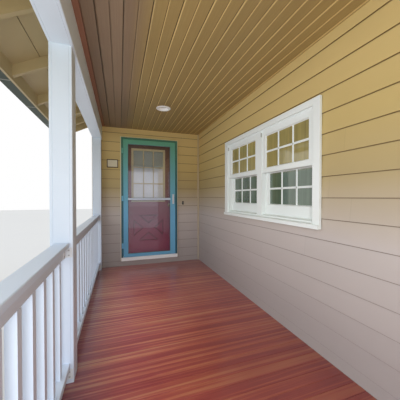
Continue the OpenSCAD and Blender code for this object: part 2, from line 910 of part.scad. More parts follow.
module storm_door_frame() {
    color(TEAL) {
        door_ring([leaf_x0, leaf_x1], [leaf_z0, leaf_z1],
            [storm_glass_x0, storm_glass_x1], [storm_glass_z0, storm_glass_z1], storm_y0, storm_y1);
        block([storm_glass_x0 - eps, storm_y0, storm_bar_z],
            [storm_glass_x1 + eps, storm_y1, storm_bar_z + storm_bar]);
    }
}

module storm_door_glass() {
    y0 = (storm_y0 + storm_y1 - storm_glass_t) / 2;
    y1 = y0 + storm_glass_t;
    color(GLASS) {
        block([storm_glass_x0, y0, storm_glass_z0], [storm_glass_x1, y1, storm_bar_z]);
        block([storm_glass_x0, y0, storm_bar_z + storm_bar], [storm_glass_x1, y1, storm_glass_z1]);
    }
}

// A plate with an upright grip on two stems, standing out along -y
module pull_handle() {
    grip_r = 9;
    stem_z = handle_h / 2 - 2 * grip_r;
    stem_l = handle_reach - grip_r + handle_t / 2;
    block([-handle_w / 2, -handle_t, -handle_h / 2], [handle_w / 2, 0, handle_h / 2]);
    translate([0, -handle_t - handle_reach + grip_r, 0]) {
        translate([0, 0, -stem_z - grip_r]) cylinder(r = grip_r, h = 2 * (stem_z + grip_r));
        for (z = [-stem_z, stem_z])
            translate([0, 0, z]) rotate([-90, 0, 0]) cylinder(r = grip_r * 0.75, h = stem_l);
    }
}

module storm_door_handle() {
    handle_x = leaf_x1 - handle_back;
    color(METAL) {
        translate([handle_x, storm_y0, handle_z]) pull_handle();
        translate([handle_x, storm_y1, handle_z]) mirror([0, 1, 0]) pull_handle();
    }
}

// Hinges. A barrel has three knuckles: the outer two belong to the frame and hold the pin,
// and the middle one belongs to the door and turns on it.

module knuckle(r, z0, z1, bore) {
    translate([0, 0, z0]) difference() {
        cylinder(r = r, h = z1 - z0);
        if (bore > 0) translate([0, 0, -1]) cylinder(r = bore, h = z1 - z0 + 2);
    }
}

module fixed_knuckles(r) {
    half = barrel_l / 2;
    translate([0, 0, -half]) cylinder(r = hinge_pin_r, h = barrel_l);
    knuckle(r, -half, -half + knuckle_l - knuckle_gap, 0);
    knuckle(r, half - knuckle_l + knuckle_gap, half, 0);
}

module turning_knuckle(r) {
    knuckle(r, -knuckle_l / 2, knuckle_l / 2, hinge_pin_r + pin_gap);
}

// The storm door's plates lie flat on the frame and on the door, in front of both
module storm_hinge_pins() {
    half = barrel_l / 2;
    plate_y = storm_barrel_r + knuckle_gap;
    edge = storm_barrel_r + 1.5;
    outer_l = knuckle_l - knuckle_gap;
    color(METAL) for (z = HINGE_Z) translate([hinge_x, storm_hinge_y, z]) {
        fixed_knuckles(storm_barrel_r);
        block([-edge - hinge_plate_w, plate_y - hinge_plate_t, -half], [-edge, plate_y, half]);
        for (z0 = [-half, half - outer_l])
            block([-edge - 1, plate_y - hinge_plate_t, z0], [-door_gap / 2, plate_y, z0 + outer_l]);
    }
}

module storm_hinge_leaves() {
    half = barrel_l / 2;
    plate_y = storm_barrel_r + knuckle_gap;
    edge = storm_barrel_r + 1.5;
    bore = hinge_pin_r + pin_gap;
    color(METAL) for (z = HINGE_Z) translate([hinge_x, storm_hinge_y, z]) {
        turning_knuckle(storm_barrel_r);
        block([edge, plate_y - hinge_plate_t, -half], [edge + hinge_plate_w, plate_y, half]);
        block([door_gap / 2, plate_y - hinge_plate_t, -knuckle_l / 2],
            [edge + 1, plate_y, knuckle_l / 2]);
    }
}

// The entry door's plates lie in the gap between the jamb and the door's edge
module entry_hinge_pins() {
    half = barrel_l / 2;
    depth = entry_t;
    root_y = entry_barrel_r + 1;
    outer_l = knuckle_l - knuckle_gap;
    color(METAL) for (z = HINGE_Z) translate([hinge_x, entry_hinge_y, z]) {
        fixed_knuckles(entry_barrel_r);
        block([-door_gap / 2, -depth, -half], [-door_gap / 2 + hinge_plate_t, -root_y, half]);
        for (z0 = [-half, half - outer_l])
            block([-door_gap / 2, -root_y - 1, z0],
                [-door_gap / 2 + hinge_plate_t, -entry_barrel_r / 2, z0 + outer_l]);
    }
}

module entry_hinge_leaves() {
    half = barrel_l / 2;
    depth = entry_t;
    root_y = entry_barrel_r + 1;
    color(METAL) for (z = HINGE_Z) translate([hinge_x, entry_hinge_y, z]) {
        turning_knuckle(entry_barrel_r);
        block([door_gap / 2 - hinge_plate_t, -depth, -half], [door_gap / 2, -root_y, half]);
        difference() {
            block([door_gap / 2 - hinge_plate_t, -root_y - 1, -knuckle_l / 2],
                [door_gap / 2, -entry_barrel_r / 2, knuckle_l / 2]);
            translate([0, 0, -barrel_l]) cylinder(r = hinge_pin_r + pin_gap, h = 2 * barrel_l);
        }
    }
}

// Entry door: a slab with a window opening, and four hollows that leave two crossed bars

module cross_hollows() {
    x0 = lite_x0 + lite_lap;
    w = lite_w - 2 * lite_lap;
    reach = sqrt(w * w + cross_h * cross_h);
    bar_x = cross_bar / 2 * reach / cross_h;
    bar_z = cross_bar / 2 * reach / w;
    mid = [x0 + w / 2, cross_z + cross_h / 2];
    right = mid + [w / 2, 0];
    left = mid - [w / 2, 0];
    up = mid + [0, cross_h / 2];
    down = mid - [0, cross_h / 2];
    polygon([up - [w / 2 - bar_x, 0], up + [w / 2 - bar_x, 0], mid + [0, bar_z]]);
    polygon([down - [w / 2 - bar_x, 0], down + [w / 2 - bar_x, 0], mid - [0, bar_z]]);
    polygon([left - [0, cross_h / 2 - bar_z], left + [0, cross_h / 2 - bar_z], mid - [bar_x, 0]]);
    polygon([right - [0, cross_h / 2 - bar_z], right + [0, cross_h / 2 - bar_z], mid + [bar_x, 0]]);
}

module entry_door() {
    color("#5d2630") difference() {
        block([leaf_x0, entry_y0, leaf_z0], [leaf_x1, entry_y1, leaf_z1]);
        block([lite_x0 + lite_lap, entry_y0 - 1, lite_z + lite_lap],
            [lite_x0 + lite_w - lite_lap, entry_y1 + 1, lite_z + lite_h - lite_lap]);
        along_y(entry_y0 - 1, entry_y0 + cross_d) cross_hollows();
        along_y(entry_y1 - cross_d, entry_y1 + 1) cross_hollows();
    }
}

module entry_lite_frame() {
    x = [lite_x0, lite_x0 + lite_w];
    z = [lite_z, lite_z + lite_h];
    lap = [lite_lap, -lite_lap];
    edge = [lite_frame, -lite_frame];
    color(CREAM) {
        door_ring(x, z, x + edge, z + edge, entry_y0 - lite_out, entry_y0);
        door_ring(x, z, x + edge, z + edge, entry_y1, entry_y1 + lite_out);
        door_ring(x + lap, z + lap, x + edge, z + edge, entry_y0 - eps, entry_y1 + eps);
    }
}

module entry_lite_glass() {
    y0 = (entry_y0 + entry_y1 - lite_glass_t) / 2;
    color(GLASS) block([lite_x0 + lite_frame, y0, lite_z + lite_frame],
        [lite_x0 + lite_w - lite_frame, y0 + lite_glass_t, lite_z + lite_h - lite_frame]);
}

// A turned knob on its rose, standing out along -y
module knob() {
    rose_t = 8;
    neck_r = 11;
    rotate([90, 0, 0]) {
        cylinder(r = rose_r, h = rose_t);
        cylinder(r = neck_r, h = knob_reach - knob_r);
        translate([0, 0, knob_reach - knob_r]) sphere(r = knob_r);
    }
}

module entry_knobs() {
    color("#cdb98a") {
        translate([knob_x, entry_y0, knob_z]) knob();
        translate([knob_x, entry_y1, knob_z]) mirror([0, 1, 0]) knob();
    }
}

placed() house_foundation();
placed() end_foundation();
placed() porch_piers();
placed() deck_joists();
placed() side_skirt();
placed() end_skirt();
placed() porch_floor();
placed() posts();
placed() front_beam();
placed() end_beam();
placed() rail_caps();
placed() top_rails();
placed() balusters_far();
placed() balusters_near();
placed() bottom_plates();
placed() bottom_rails();
placed() rail_brackets();
placed() porch_ceiling();
placed() ceiling_light();
placed() rafters();
placed() rafter_blocks();
placed() roof_boards();
placed() roof_shingles();
placed() eave_fascia();
placed() rake_boards();
placed() gutter();
placed() gable_infill();
placed() house_wall_near();
placed() house_wall_corner();
placed() house_wall_under_window();
placed() house_wall_over_window();
placed() end_wall_left();
placed() end_wall_right();
placed() end_wall_over_door();
placed() window_casing();
placed() window_frame();
placed() upper_sashes();
placed() lower_sashes();
placed() window_glass();
placed() window_inside_trim();
placed() door_casing();
placed() door_frame();
placed() door_sill();
placed() door_riser();
placed() door_inside_trim();
placed() storm_door_frame();
placed() storm_door_glass();
placed() storm_door_handle();
placed() storm_hinge_pins();
placed() storm_hinge_leaves();
placed() entry_door();
placed() entry_lite_frame();
placed() entry_lite_glass();
placed() entry_knobs();
placed() entry_hinge_pins();
placed() entry_hinge_leaves();
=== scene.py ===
"""Looks of a front porch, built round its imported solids.

Lengths are in metres. "Walk coordinates" run from the corner where the posts' inner faces meet the
door wall, at the floor's top: x across the walk to the house wall, y towards the door wall (so the
walk lies at negative y) and z up. Walk.at() moves them into the frame that the solids share.
"""

import logging
import math
from dataclasses import dataclass, field
from enum import Enum, unique
from functools import cache
from typing import Any, ClassVar, Sequence

import bmesh
import bpy
import numpy as np
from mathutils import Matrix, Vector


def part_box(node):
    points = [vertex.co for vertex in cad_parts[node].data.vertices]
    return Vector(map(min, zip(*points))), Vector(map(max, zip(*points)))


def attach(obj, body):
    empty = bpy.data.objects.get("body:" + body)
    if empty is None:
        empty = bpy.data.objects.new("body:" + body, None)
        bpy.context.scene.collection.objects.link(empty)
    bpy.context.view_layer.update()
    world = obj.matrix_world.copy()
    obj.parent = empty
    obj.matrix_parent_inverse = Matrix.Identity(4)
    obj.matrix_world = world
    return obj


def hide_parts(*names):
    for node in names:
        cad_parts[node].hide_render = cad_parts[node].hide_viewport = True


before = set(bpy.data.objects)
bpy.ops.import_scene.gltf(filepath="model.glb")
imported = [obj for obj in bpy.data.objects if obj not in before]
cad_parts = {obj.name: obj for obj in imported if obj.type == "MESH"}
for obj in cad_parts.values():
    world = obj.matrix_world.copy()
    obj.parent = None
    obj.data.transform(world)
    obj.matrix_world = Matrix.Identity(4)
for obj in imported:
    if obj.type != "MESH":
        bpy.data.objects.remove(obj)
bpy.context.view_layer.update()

LOG = logging.getLogger("porch")
MM = 0.001
GLASS_INDEX = 1.5
Colour = tuple[float, float, float]
Rows = np.ndarray | Sequence[Sequence[float]]


def shade(red: float, green: float, blue: float) -> Colour:
    """Turns a colour as it shows on a screen, 0 to 255, into the linear one that shaders take.

    Args:
        red: Red, 0 to 255.
        green: Green, 0 to 255.
        blue: Blue, 0 to 255.

    Returns:
        The linear colour, by the usual screen curve: a straight foot, then a power of 2.4.
    """
    full, knee, slope, lift, power = 255, 0.04045, 12.92, 0.055, 2.4
    shown = np.array([red, green, blue]) / full
    linear = np.where(shown <= knee, shown / slope, ((shown + lift) / (1 + lift)) ** power)
    return tuple(float(part) for part in linear)


class Axis(Enum):
    """An axis of the frame, by its index."""

    X = 0
    Y = 1
    Z = 2

    def scales(self, along: float, across: float) -> list[float]:
        """One number for each axis: along for this one, across for the other two."""
        return [along if axis is self else across for axis in Axis]

    def others(self) -> list[int]:
        """The other two axes' indices, in order."""
        return [axis.value for axis in Axis if axis is not self]


@dataclass(frozen=True)
class Walk:
    """The main planes of the walk, read from the solids.

    Attributes:
        origin: Place of the walk's own zero point, in the shared frame.
        wall_x: The house wall's face.
        ceiling: Height of the ceiling's underside.
    """

    origin: np.ndarray
    wall_x: float
    ceiling: float

    @classmethod
    def measured(cls) -> "Walk":
        """Reads the planes from the boxes of the posts, floor, walls and ceiling.

        Returns:
            The walk.
        """
        corner = [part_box("posts")[1].x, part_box("end_foundation")[0].y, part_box("porch_floor")[1].z]
        wall_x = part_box("house_foundation")[0].x - corner[0]
        return cls(np.array(corner), wall_x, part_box("porch_ceiling")[0].z - corner[2])

    def at(self, points: Any) -> np.ndarray:
        """Moves points from walk coordinates into the shared frame."""
        return np.asarray(points, float) + self.origin

    def box(self, node: str) -> tuple[np.ndarray, np.ndarray]:
        """Gives a solid's lowest and highest corner in walk coordinates."""
        low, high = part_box(node)
        return np.array(low) - self.origin, np.array(high) - self.origin


WALK = Walk.measured()


class Wire:
    """A value in a node tree. Python's operators on it add the Math nodes that work it out."""

    def __init__(self, tree: "Tree", socket: Any) -> None:
        """Wraps one output socket of a tree."""
        self.tree = tree
        self.socket = socket

    def math(self, operation: str, *others: Any, flip: bool = False) -> "Wire":
        """Adds one Math node.

        Args:
            operation: The node's operation.
            others: The other values, as wires or numbers.
            flip: True puts this wire second, for the reflected operators.

        Returns:
            The node's result.
        """
        values = [self, *others]
        if flip:
            values.reverse()
        return self.tree.node("ShaderNodeMath", {"operation": operation}, dict(enumerate(values)))

    def __add__(self, other: Any) -> "Wire":
        """Sum."""
        return self.math("ADD", other)

    def __sub__(self, other: Any) -> "Wire":
        """Difference."""
        return self.math("SUBTRACT", other)

    def __rsub__(self, other: Any) -> "Wire":
        """Difference from a number, as in 1 - mask."""
        return self.math("SUBTRACT", other, flip=True)

    def __mul__(self, other: Any) -> "Wire":
        """Product."""
        return self.math("MULTIPLY", other)

    def __truediv__(self, other: Any) -> "Wire":
        """Quotient."""
        return self.math("DIVIDE", other)

    def __gt__(self, other: Any) -> "Wire":
        """1 where this value is greater, else 0."""
        return self.math("GREATER_THAN", other)

    def __lt__(self, other: Any) -> "Wire":
        """1 where this value is less, else 0."""
        return self.math("LESS_THAN", other)

    __radd__ = __add__
    __rmul__ = __mul__

    def floor(self) -> "Wire":
        """The whole number below."""
        return self.math("FLOOR")

    def fract(self) -> "Wire":
        """What is left over the whole number below."""
        return self.math("FRACT")

    def size(self) -> "Wire":
        """The value without its sign."""
        return self.math("ABSOLUTE")

    def either(self, other: Any) -> "Wire":
        """The greater of two values."""
        return self.math("MAXIMUM", other)

    def span(self, low: float, high: float) -> "Wire":
        """0 at low, 1 at high, straight between them and held outside them."""
        return self.tree.node("ShaderNodeMapRange", {}, {0: self, 1: low, 2: high})

    def sway(self, width: float) -> "Wire":
        """A swing about 0, of that width in all where this value runs from 0 to 1."""
        return (self - 0.5) * width

    def shared(self, other: "Wire", share: float) -> "Wire":
        """The sum of this value and another, of which the other gives that share."""
        return self * (1 - share) + other * share

    def beside(self, out: Any) -> "Wire":
        """Another output of the same node, by its index or name."""
        return Wire(self.tree, self.socket.node.outputs[out])


class Tree:
    """A node tree, with one method that adds any node."""

    def __init__(self, owner: bpy.types.ID) -> None:
        """Empties the tree of a material or of the world.

        Args:
            owner: The material or the world.
        """
        owner.use_nodes = True
        self.nodes = owner.node_tree.nodes
        self.links = owner.node_tree.links
        self.nodes.clear()

    def node(
        self, kind: str, settings: dict[str, Any], values: dict[Any, Any], out: Any = 0
    ) -> Wire:
        """Adds a node.

        Args:
            kind: The node's type.
            settings: Its own settings, set first. "stops" gives a ramp's places and colours.
            values: A number, colour or Wire for each socket, by its index or name.
            out: Index or name of the output that is wanted.

        Returns:
            That output.
        """
        made = self.nodes.new(kind)
        stops = settings.get("stops", ())
        for key, value in settings.items():
            if key != "stops":
                setattr(made, key, value)
        for index, (place, colour) in enumerate(stops):
            band = made.color_ramp.elements
            stop = band[index] if index < 2 else band.new(place)
            stop.position, stop.color = place, (*colour, 1)
        for key, value in values.items():
            socket = made.inputs[key]
            if isinstance(value, Wire):
                self.links.new(value.socket, socket)
            elif socket.type == "RGBA":
                socket.default_value = (*value, 1)
            else:
                socket.default_value = value
        return Wire(self, made.outputs[out])

    def end(self, kind: str, surface: Wire) -> None:
        """Joins a shader to a new output node of that type."""
        self.links.new(surface.socket, self.nodes.new(kind).inputs[0])

    def place(self) -> Wire:
        """The point's place in the shared frame: every piece stands at the frame's zero point."""
        return self.node("ShaderNodeTexCoord", {}, {}, "Object")

    def walk_axes(self) -> tuple[Wire, Wire, Wire]:
        """The point's x, y and z in walk coordinates."""
        split = self.node("ShaderNodeSeparateXYZ", {}, {0: self.place()})
        return tuple(split.beside(i) - float(WALK.origin[i]) for i in range(3))

    def noise(self, scale: Sequence[float] | float, detail: float = 2.0) -> Wire:
        """Adds soft noise about 0.5.

        Args:
            scale: Waves in a metre, the same along every axis or one for each.
            detail: Number of finer layers over it.

        Returns:
            The noise.
        """
        scales = (scale,) * 3 if isinstance(scale, (int, float)) else tuple(scale)
        settings = {"operation": "MULTIPLY"}
        point = self.node("ShaderNodeVectorMath", settings, {0: self.place(), 1: scales})
        values = {"Vector": point, "Scale": 1.0, "Detail": detail}
        return self.node("ShaderNodeTexNoise", {}, values)

    def chance(self, *parts: Wire) -> Wire:
        """A random number from 0 to 1 that depends only on the given numbers."""
        point = self.node("ShaderNodeCombineXYZ", {}, dict(enumerate(parts)))
        return self.node("ShaderNodeTexWhiteNoise", {"noise_dimensions": "3D"}, {"Vector": point})

    def tint(self) -> Wire:
        """The piece's own random number for each board or tab."""
        settings = {"attribute_name": "tint", "attribute_type": "GEOMETRY"}
        return self.node("ShaderNodeAttribute", settings, {}, "Fac")

    def mix(self, first: Any, second: Any, factor: Any) -> Wire:
        """Blends two colours, in the node's sockets 6 and 7: the first at 0, the second at 1."""
        values = {0: factor, 6: first, 7: second}
        return self.node("ShaderNodeMix", {"data_type": "RGBA"}, values, 2)

    def toned(self, colour: Any, tone: Wire) -> Wire:
        """Makes a colour lighter or darker by a factor."""
        settings = {"operation": "SCALE"}
        return self.node("ShaderNodeVectorMath", settings, {0: colour, "Scale": tone})

    def washed(self, colour: Wire, painted_light: Wire) -> Wire:
        """Multiplies two colours."""
        settings = {"operation": "MULTIPLY"}
        return self.node("ShaderNodeVectorMath", settings, {0: colour, 1: painted_light})

    def ramp(self, value: Wire, *stops: tuple[float, Colour]) -> Wire:
        """A colour from a band of stops."""
        return self.node("ShaderNodeValToRGB", {"stops": stops}, {0: value}, "Color")

    def slant(self) -> Wire:
        """How much bare glass mirrors: little face on, and all of it at a flat angle."""
        return self.node("ShaderNodeFresnel", {}, {"IOR": GLASS_INDEX})

    def bump(self, height: Wire, depth: float, strength: float) -> Wire:
        """Turns a height from 0 to 1 into a surface relief of that depth in metres."""
        values = {"Height": height, "Distance": depth, "Strength": strength}
        return self.node("ShaderNodeBump", {}, values, "Normal")


@dataclass(frozen=True)
class Recipe:
    """A way to finish a surface: what the sockets of its Principled shader take."""

    def sockets(self, tree: Tree) -> dict[str, Any]:
        """Gives a value for each socket that isn't left as it is."""
        raise NotImplementedError

    def make(self, name: str) -> bpy.types.Material:
        """Builds the material.

        Args:
            name: Its name.

        Returns:
            The material.
        """
        material = bpy.data.materials.new(name)
        tree = Tree(material)
        shader = tree.node("ShaderNodeBsdfPrincipled", {}, self.sockets(tree))
        tree.end("ShaderNodeOutputMaterial", shader)
        return material


@dataclass(frozen=True)
class BoardPaint(Recipe):
    """Satin paint on boards: faint brush marks along the grain, mottling, grime near the floor.

    Attributes:
        colour: The paint.
        grain: Axis that the brush marks run along.
        rough: Roughness.
        grime: How much the paint darkens towards the floor.
        foot: A second colour that the paint turns to towards the floor, or None.
        faces: Planes y of a door's two faces, between which its hollows get painted shade, or None.
        turn: Heights between which the foot's colour turns to the paint's.
        splash: Height that the grime reaches.
        hollow: How much darker the painted shade makes a door's hollows.
        brush: Brush marks in a metre, along the grain and across it.
        tone: Tone of the paint without mottling or marks.
    """

    colour: Colour
    grain: Axis = Axis.Y
    rough: float = 0.42
    grime: float = 0.08
    foot: Colour | None = None
    faces: tuple[float, float] | None = None
    turn: tuple[float, float] = (0.25, 2.1)
    splash: float = 0.16
    hollow: float = 0.4
    brush: tuple[float, float] = (5.0, 260.0)
    tone: float = 1.0025

    def sockets(self, tree: Tree) -> dict[str, Any]:
        """Works out the paint.

        Args:
            tree: The tree to add it to.

        Returns:
            A value for each socket that it sets.
        """
        _, along, height = tree.walk_axes()
        marks = tree.noise(self.grain.scales(*self.brush), detail=3)
        mottle = tree.noise(scale=3.2, detail=3)
        fine = tree.noise(scale=90.0)
        colour = tree.mix(self.colour, self.foot or self.colour, 1 - height.span(*self.turn))
        dirt = (1 - height.span(0.0, self.splash)) * mottle * 2
        tone = self.tone + mottle.sway(0.05) + marks.sway(0.025) - dirt * self.grime
        # Painted shade in a door's hollows, between its two faces.
        if self.faces:
            front, back = self.faces
            inside = (along - (front + back) / 2).size() < (back - front) / 2 - MM
            tone = tone - inside * self.hollow
        return {
            "Base Color": tree.toned(colour, tone),
            "Roughness": self.rough + marks.sway(0.12),
            "Normal": tree.bump(marks.shared(fine, 0.3), depth=0.0005, strength=0.35),
        }


@dataclass(frozen=True)
class LapPaint(Recipe):
    """Paint on smooth lap siding, board by board, with plain plaster on the wall's inner face.

    A painted shadow lies under every butt, and the colour up the wall is painted light.

    Attributes:
        stops: Colours up the wall, as heights over the floor and colours: painted light.
        plaster: Colour of the inner face.
        exposure: Height of each board that shows.
        first: Height of the first butt line.
        board: Length of one siding board.
        line: How far the painted shadow reaches down from a butt.
        full: Share of that reach over which the painted shadow is at its darkest.
        depth: How much of the paint the painted shadow hides.
        shadow: Colour of the painted shadow.
        joint: Half the width of the joint between two boards' ends.
        gap: How much darker a joint is.
        shifts: Numbers that keep the random draws for joints and for tones apart.
        skin: How close to the inner face the plaster begins.
        tone: Tone of the paint without what differs from place to place.
        rough: Roughness of the paint, and what plaster adds to it.
    """

    stops: tuple[tuple[float, Colour], ...] = (
        (0.20, shade(170, 162, 160)),
        (0.90, shade(192, 184, 179)),
        (1.38, shade(179, 160, 114)),
        (1.75, shade(198, 175, 115)),
        (2.20, shade(215, 190, 128)),
    )
    plaster: Colour = shade(226, 222, 212)
    exposure: float = 0.1596
    first: float = 0.0906
    board: float = 3.66
    line: float = 0.008
    full: float = 0.4
    depth: float = 0.75
    shadow: Colour = shade(84, 60, 24)
    joint: float = 0.0012
    gap: float = 0.12
    shifts: tuple[float, float] = (0.37, 3.0)
    skin: float = 0.002
    tone: float = 1.01
    rough: tuple[float, float] = (0.55, 0.25)

    def sockets(self, tree: Tree) -> dict[str, Any]:
        """Works out the paint and the plaster.

        Args:
            tree: The tree to add them to.

        Returns:
            A value for each socket that they set.
        """
        across, along, height = tree.walk_axes()
        rise = (height - self.first) / self.exposure
        course = rise.floor()
        # Painted shadow under each butt, full just under it and fading out over the line's reach.
        drop = (1 - rise.fract()) * self.exposure
        shadow = (1 - drop.span(self.line * self.full, self.line)) * self.depth
        start = tree.chance(course, course * self.shifts[0])
        board = (along + across) / self.board + start
        joint = (board.fract() - 0.5).size() > 0.5 - self.joint / self.board
        own = tree.chance(course, board.floor() + self.shifts[1])
        grain = tree.noise((7.0, 7.0, 190.0), detail=3)
        mottle = tree.noise(scale=2.3, detail=3)
        stipple = tree.noise(scale=140.0, detail=3)
        tone = self.tone + own.sway(0.04) + mottle.sway(0.06) + grain.sway(0.02) - joint * self.gap
        # The colours up the wall are painted light: grey at the foot, yellow under the ceiling.
        stops = [(z / WALK.ceiling, colour) for z, colour in self.stops]
        colour = tree.ramp(height / WALK.ceiling, *stops)
        outside = tree.mix(tree.toned(colour, tone), self.shadow, shadow)
        behind_house = across > float(WALK.box("house_foundation")[1][0]) - self.skin
        behind_door = along > float(WALK.box("end_foundation")[1][1]) - self.skin
        inside = behind_house.either(behind_door)
        relief = (grain * 0.7 - joint) * (1 - inside) + stipple * inside * 0.5
        painted, rougher = self.rough
        return {
            "Base Color": tree.mix(outside, self.plaster, inside),
            "Roughness": painted + mottle.sway(0.1) + inside * rougher,
            "Normal": tree.bump(relief, depth=0.0009, strength=0.4),
        }


@dataclass(frozen=True)
class Grooves:
    """V grooves between the ceiling's boards: painted shade on one flank, a painted highlight on the
    other.

    Attributes:
        first: Distance from the house wall to the first groove.
        pitch: Distance between two grooves.
        halves: Half widths of the groove between two boards and of the one down a board's middle.
        grime: Tone of the painted shade on the one flank, for those two.
        light: Tone of the painted highlight on the other flank.
        highlight_span: Places across the walk where the painted highlights begin to show, and show
            fully.
    """

    first: float = 0.017
    pitch: float = 0.0875
    halves: tuple[float, float] = (0.0075, 0.0055)
    grime: tuple[float, float] = (0.3, 0.55)
    light: float = 1.7
    highlight_span: tuple[float, float] = (0.34, 0.56)

    def tone(self, tree: Tree, across: Wire) -> Wire:
        """Works out the tone at a place across the walk.

        Args:
            tree: The tree to add it to.
            across: The place.

        Returns:
            The painted shade's tone on the one flank, the painted highlight's on the other and 1
            between grooves.
        """
        count = (WALK.wall_x - self.first - across) / self.pitch
        nearest = (count + 0.5).floor()
        off = (nearest - count) * self.pitch
        odd = (nearest / 2).fract() * 2
        half = self.halves[0] + odd * (self.halves[1] - self.halves[0])
        # Painted shade on each groove's flank on the beam side, a painted highlight on its flank on the
        # house side.
        shaded_flank = (off < 0) * (off + half > 0)
        lit = (off > 0) * (off < half)
        grime = 1 - self.grime[0] - odd * (self.grime[1] - self.grime[0])
        return 1 - shaded_flank * grime + lit * across.span(*self.highlight_span) * (self.light - 1)


GROOVES = Grooves()


@dataclass(frozen=True)
class StainedBoards(Recipe):
    """Stained boards: each with its own depth of stain, streaks, and a grain that runs along them.

    Attributes:
        stops: Colours from the darkest stain to the lightest, as places and colours.
        grain: Axis that the boards run along.
        rough: Roughness.
        coat: Weight of the clear coat.
        boards: How much the boards differ.
        streaks: How much streaks show along a board, and how many there are in a metre.
        haze: Weight of the haze that shows at a flat angle.
        painted_light: Painted light and shade across the walk: places x and colours that the stain is
            multiplied by.
        painted_light_along: The same along the walk, as distances from the door wall and colours.
        grooves: The grooves along the boards, or None.
        reach: Length along the walk that the fade's stops are measured against.
        streaked: Values of the streaks' noise between which a streak begins and is full.
    """

    stops: tuple[tuple[float, Colour], ...]
    grain: Axis
    rough: float
    coat: float = 0.0
    boards: float = 0.6
    streaks: tuple[float, float] = (0.0, 30.0)
    haze: float = 0.0
    painted_light: tuple[tuple[float, Colour], ...] = ()
    painted_light_along: tuple[tuple[float, Colour], ...] = ()
    grooves: Grooves | None = None
    reach: float = 5.5
    streaked: tuple[float, float] = (0.48, 0.6)

    def sockets(self, tree: Tree) -> dict[str, Any]:
        """Works out the stain.

        Args:
            tree: The tree to add it to.

        Returns:
            A value for each socket that it sets.
        """
        strength, number = self.streaks
        grain = tree.noise(self.grain.scales(2.6, 150.0), detail=4)
        fine = tree.noise(self.grain.scales(9.0, 600.0))
        wear = tree.noise(scale=1.7, detail=4)
        depth = 0.5 + tree.tint().sway(self.boards) + grain.sway(0.5) + wear.sway(0.5)
        if strength:
            streak = tree.noise(self.grain.scales(0.55, number)).span(*self.streaked)
            depth = depth + (streak - 0.4) * strength
        colour = tree.ramp(depth, *self.stops)
        across, along, _ = tree.walk_axes()
        tone = 1 + fine.sway(0.2)
        # Painted light and shade across the walk and along it.
        painted_lights = (across, WALK.wall_x, self.painted_light), (0 - along, self.reach, self.painted_light_along)
        for place, reach, painted_light in painted_lights:
            if painted_light:
                stops = [(at / reach, tint) for at, tint in painted_light]
                colour = tree.washed(colour, tree.ramp(place / reach, *stops))
        if self.grooves:
            tone = tone * self.grooves.tone(tree, across)
        return {
            "Base Color": tree.toned(colour, tone),
            "Roughness": self.rough + wear.sway(0.14),
            "Coat Weight": self.coat * (0.8 + wear.sway(0.4)) if self.coat else 0.0,
            "Coat Roughness": 0.24,
            "Sheen Weight": self.haze,
            "Sheen Roughness": 0.35,
            "Normal": tree.bump(grain.shared(fine, 0.3), depth=0.0006, strength=0.3),
        }


@dataclass(frozen=True)
class Mineral(Recipe):
    """A grainy mineral face: cast concrete, or the granules of a shingle.

    Attributes:
        dark: Colour of the darkest grains.
        light: Colour of the lightest grains.
        grain: Grains in a metre.
        patch: Patches of stain in a metre.
        depth: Depth of the relief.
        tabs: How much each tab of the piece differs from the next.
    """

    dark: Colour
    light: Colour
    grain: float
    patch: float
    depth: float
    tabs: float = 0.0

    def sockets(self, tree: Tree) -> dict[str, Any]:
        """Works out the grains and patches.

        Args:
            tree: The tree to add them to.

        Returns:
            A value for each socket that they set.
        """
        values = {"Vector": tree.place(), "Scale": self.grain}
        cells = tree.node("ShaderNodeTexVoronoi", {}, values, "Color")
        grains = tree.node("ShaderNodeSeparateXYZ", {}, {0: cells})
        patches = tree.noise(self.patch, detail=5)
        colour = tree.mix(self.dark, self.light, 0.5 + grains.sway(0.7) + patches.sway(0.5))
        tone = 1 + patches.sway(0.4) + tree.tint().sway(self.tabs)
        return {
            "Base Color": tree.toned(colour, tone),
            "Roughness": 0.86,
            "Normal": tree.bump(grains.shared(patches, 0.4), self.depth, strength=0.7),
        }


@dataclass(frozen=True)
class Metal(Recipe):
    """Bare or enamelled metal with fine drawn lines.

    Attributes:
        colour: Its colour.
        rough: Roughness.
        grain: Axis that the drawn lines run along.
        foot: A second colour that it turns to towards the floor, or None.
        metallic: 1 for bare metal, 0 for enamel.
        turn: Heights between which the foot's colour turns to the other.
        drawn: Drawn lines in a metre, along the grain and across it.
    """

    colour: Colour
    rough: float
    grain: Axis = Axis.Z
    foot: Colour | None = None
    metallic: float = 0.0
    turn: tuple[float, float] = (0.9, 2.2)
    drawn: tuple[float, float] = (12.0, 900.0)

    def sockets(self, tree: Tree) -> dict[str, Any]:
        """Works out the metal.

        Args:
            tree: The tree to add it to.

        Returns:
            A value for each socket that it sets.
        """
        height = tree.walk_axes()[2]
        lines = tree.noise(self.grain.scales(*self.drawn))
        stain = tree.noise(scale=9.0, detail=4)
        colour = tree.mix(self.colour, self.foot or self.colour, 1 - height.span(*self.turn))
        return {
            "Base Color": tree.toned(colour, 1 + stain.sway(0.1) + lines.sway(0.04)),
            "Metallic": self.metallic,
            "Roughness": self.rough + stain.sway(0.08) + lines.sway(0.06),
            "Normal": tree.bump(lines.shared(stain, 0.5), depth=0.0002, strength=0.25),
        }


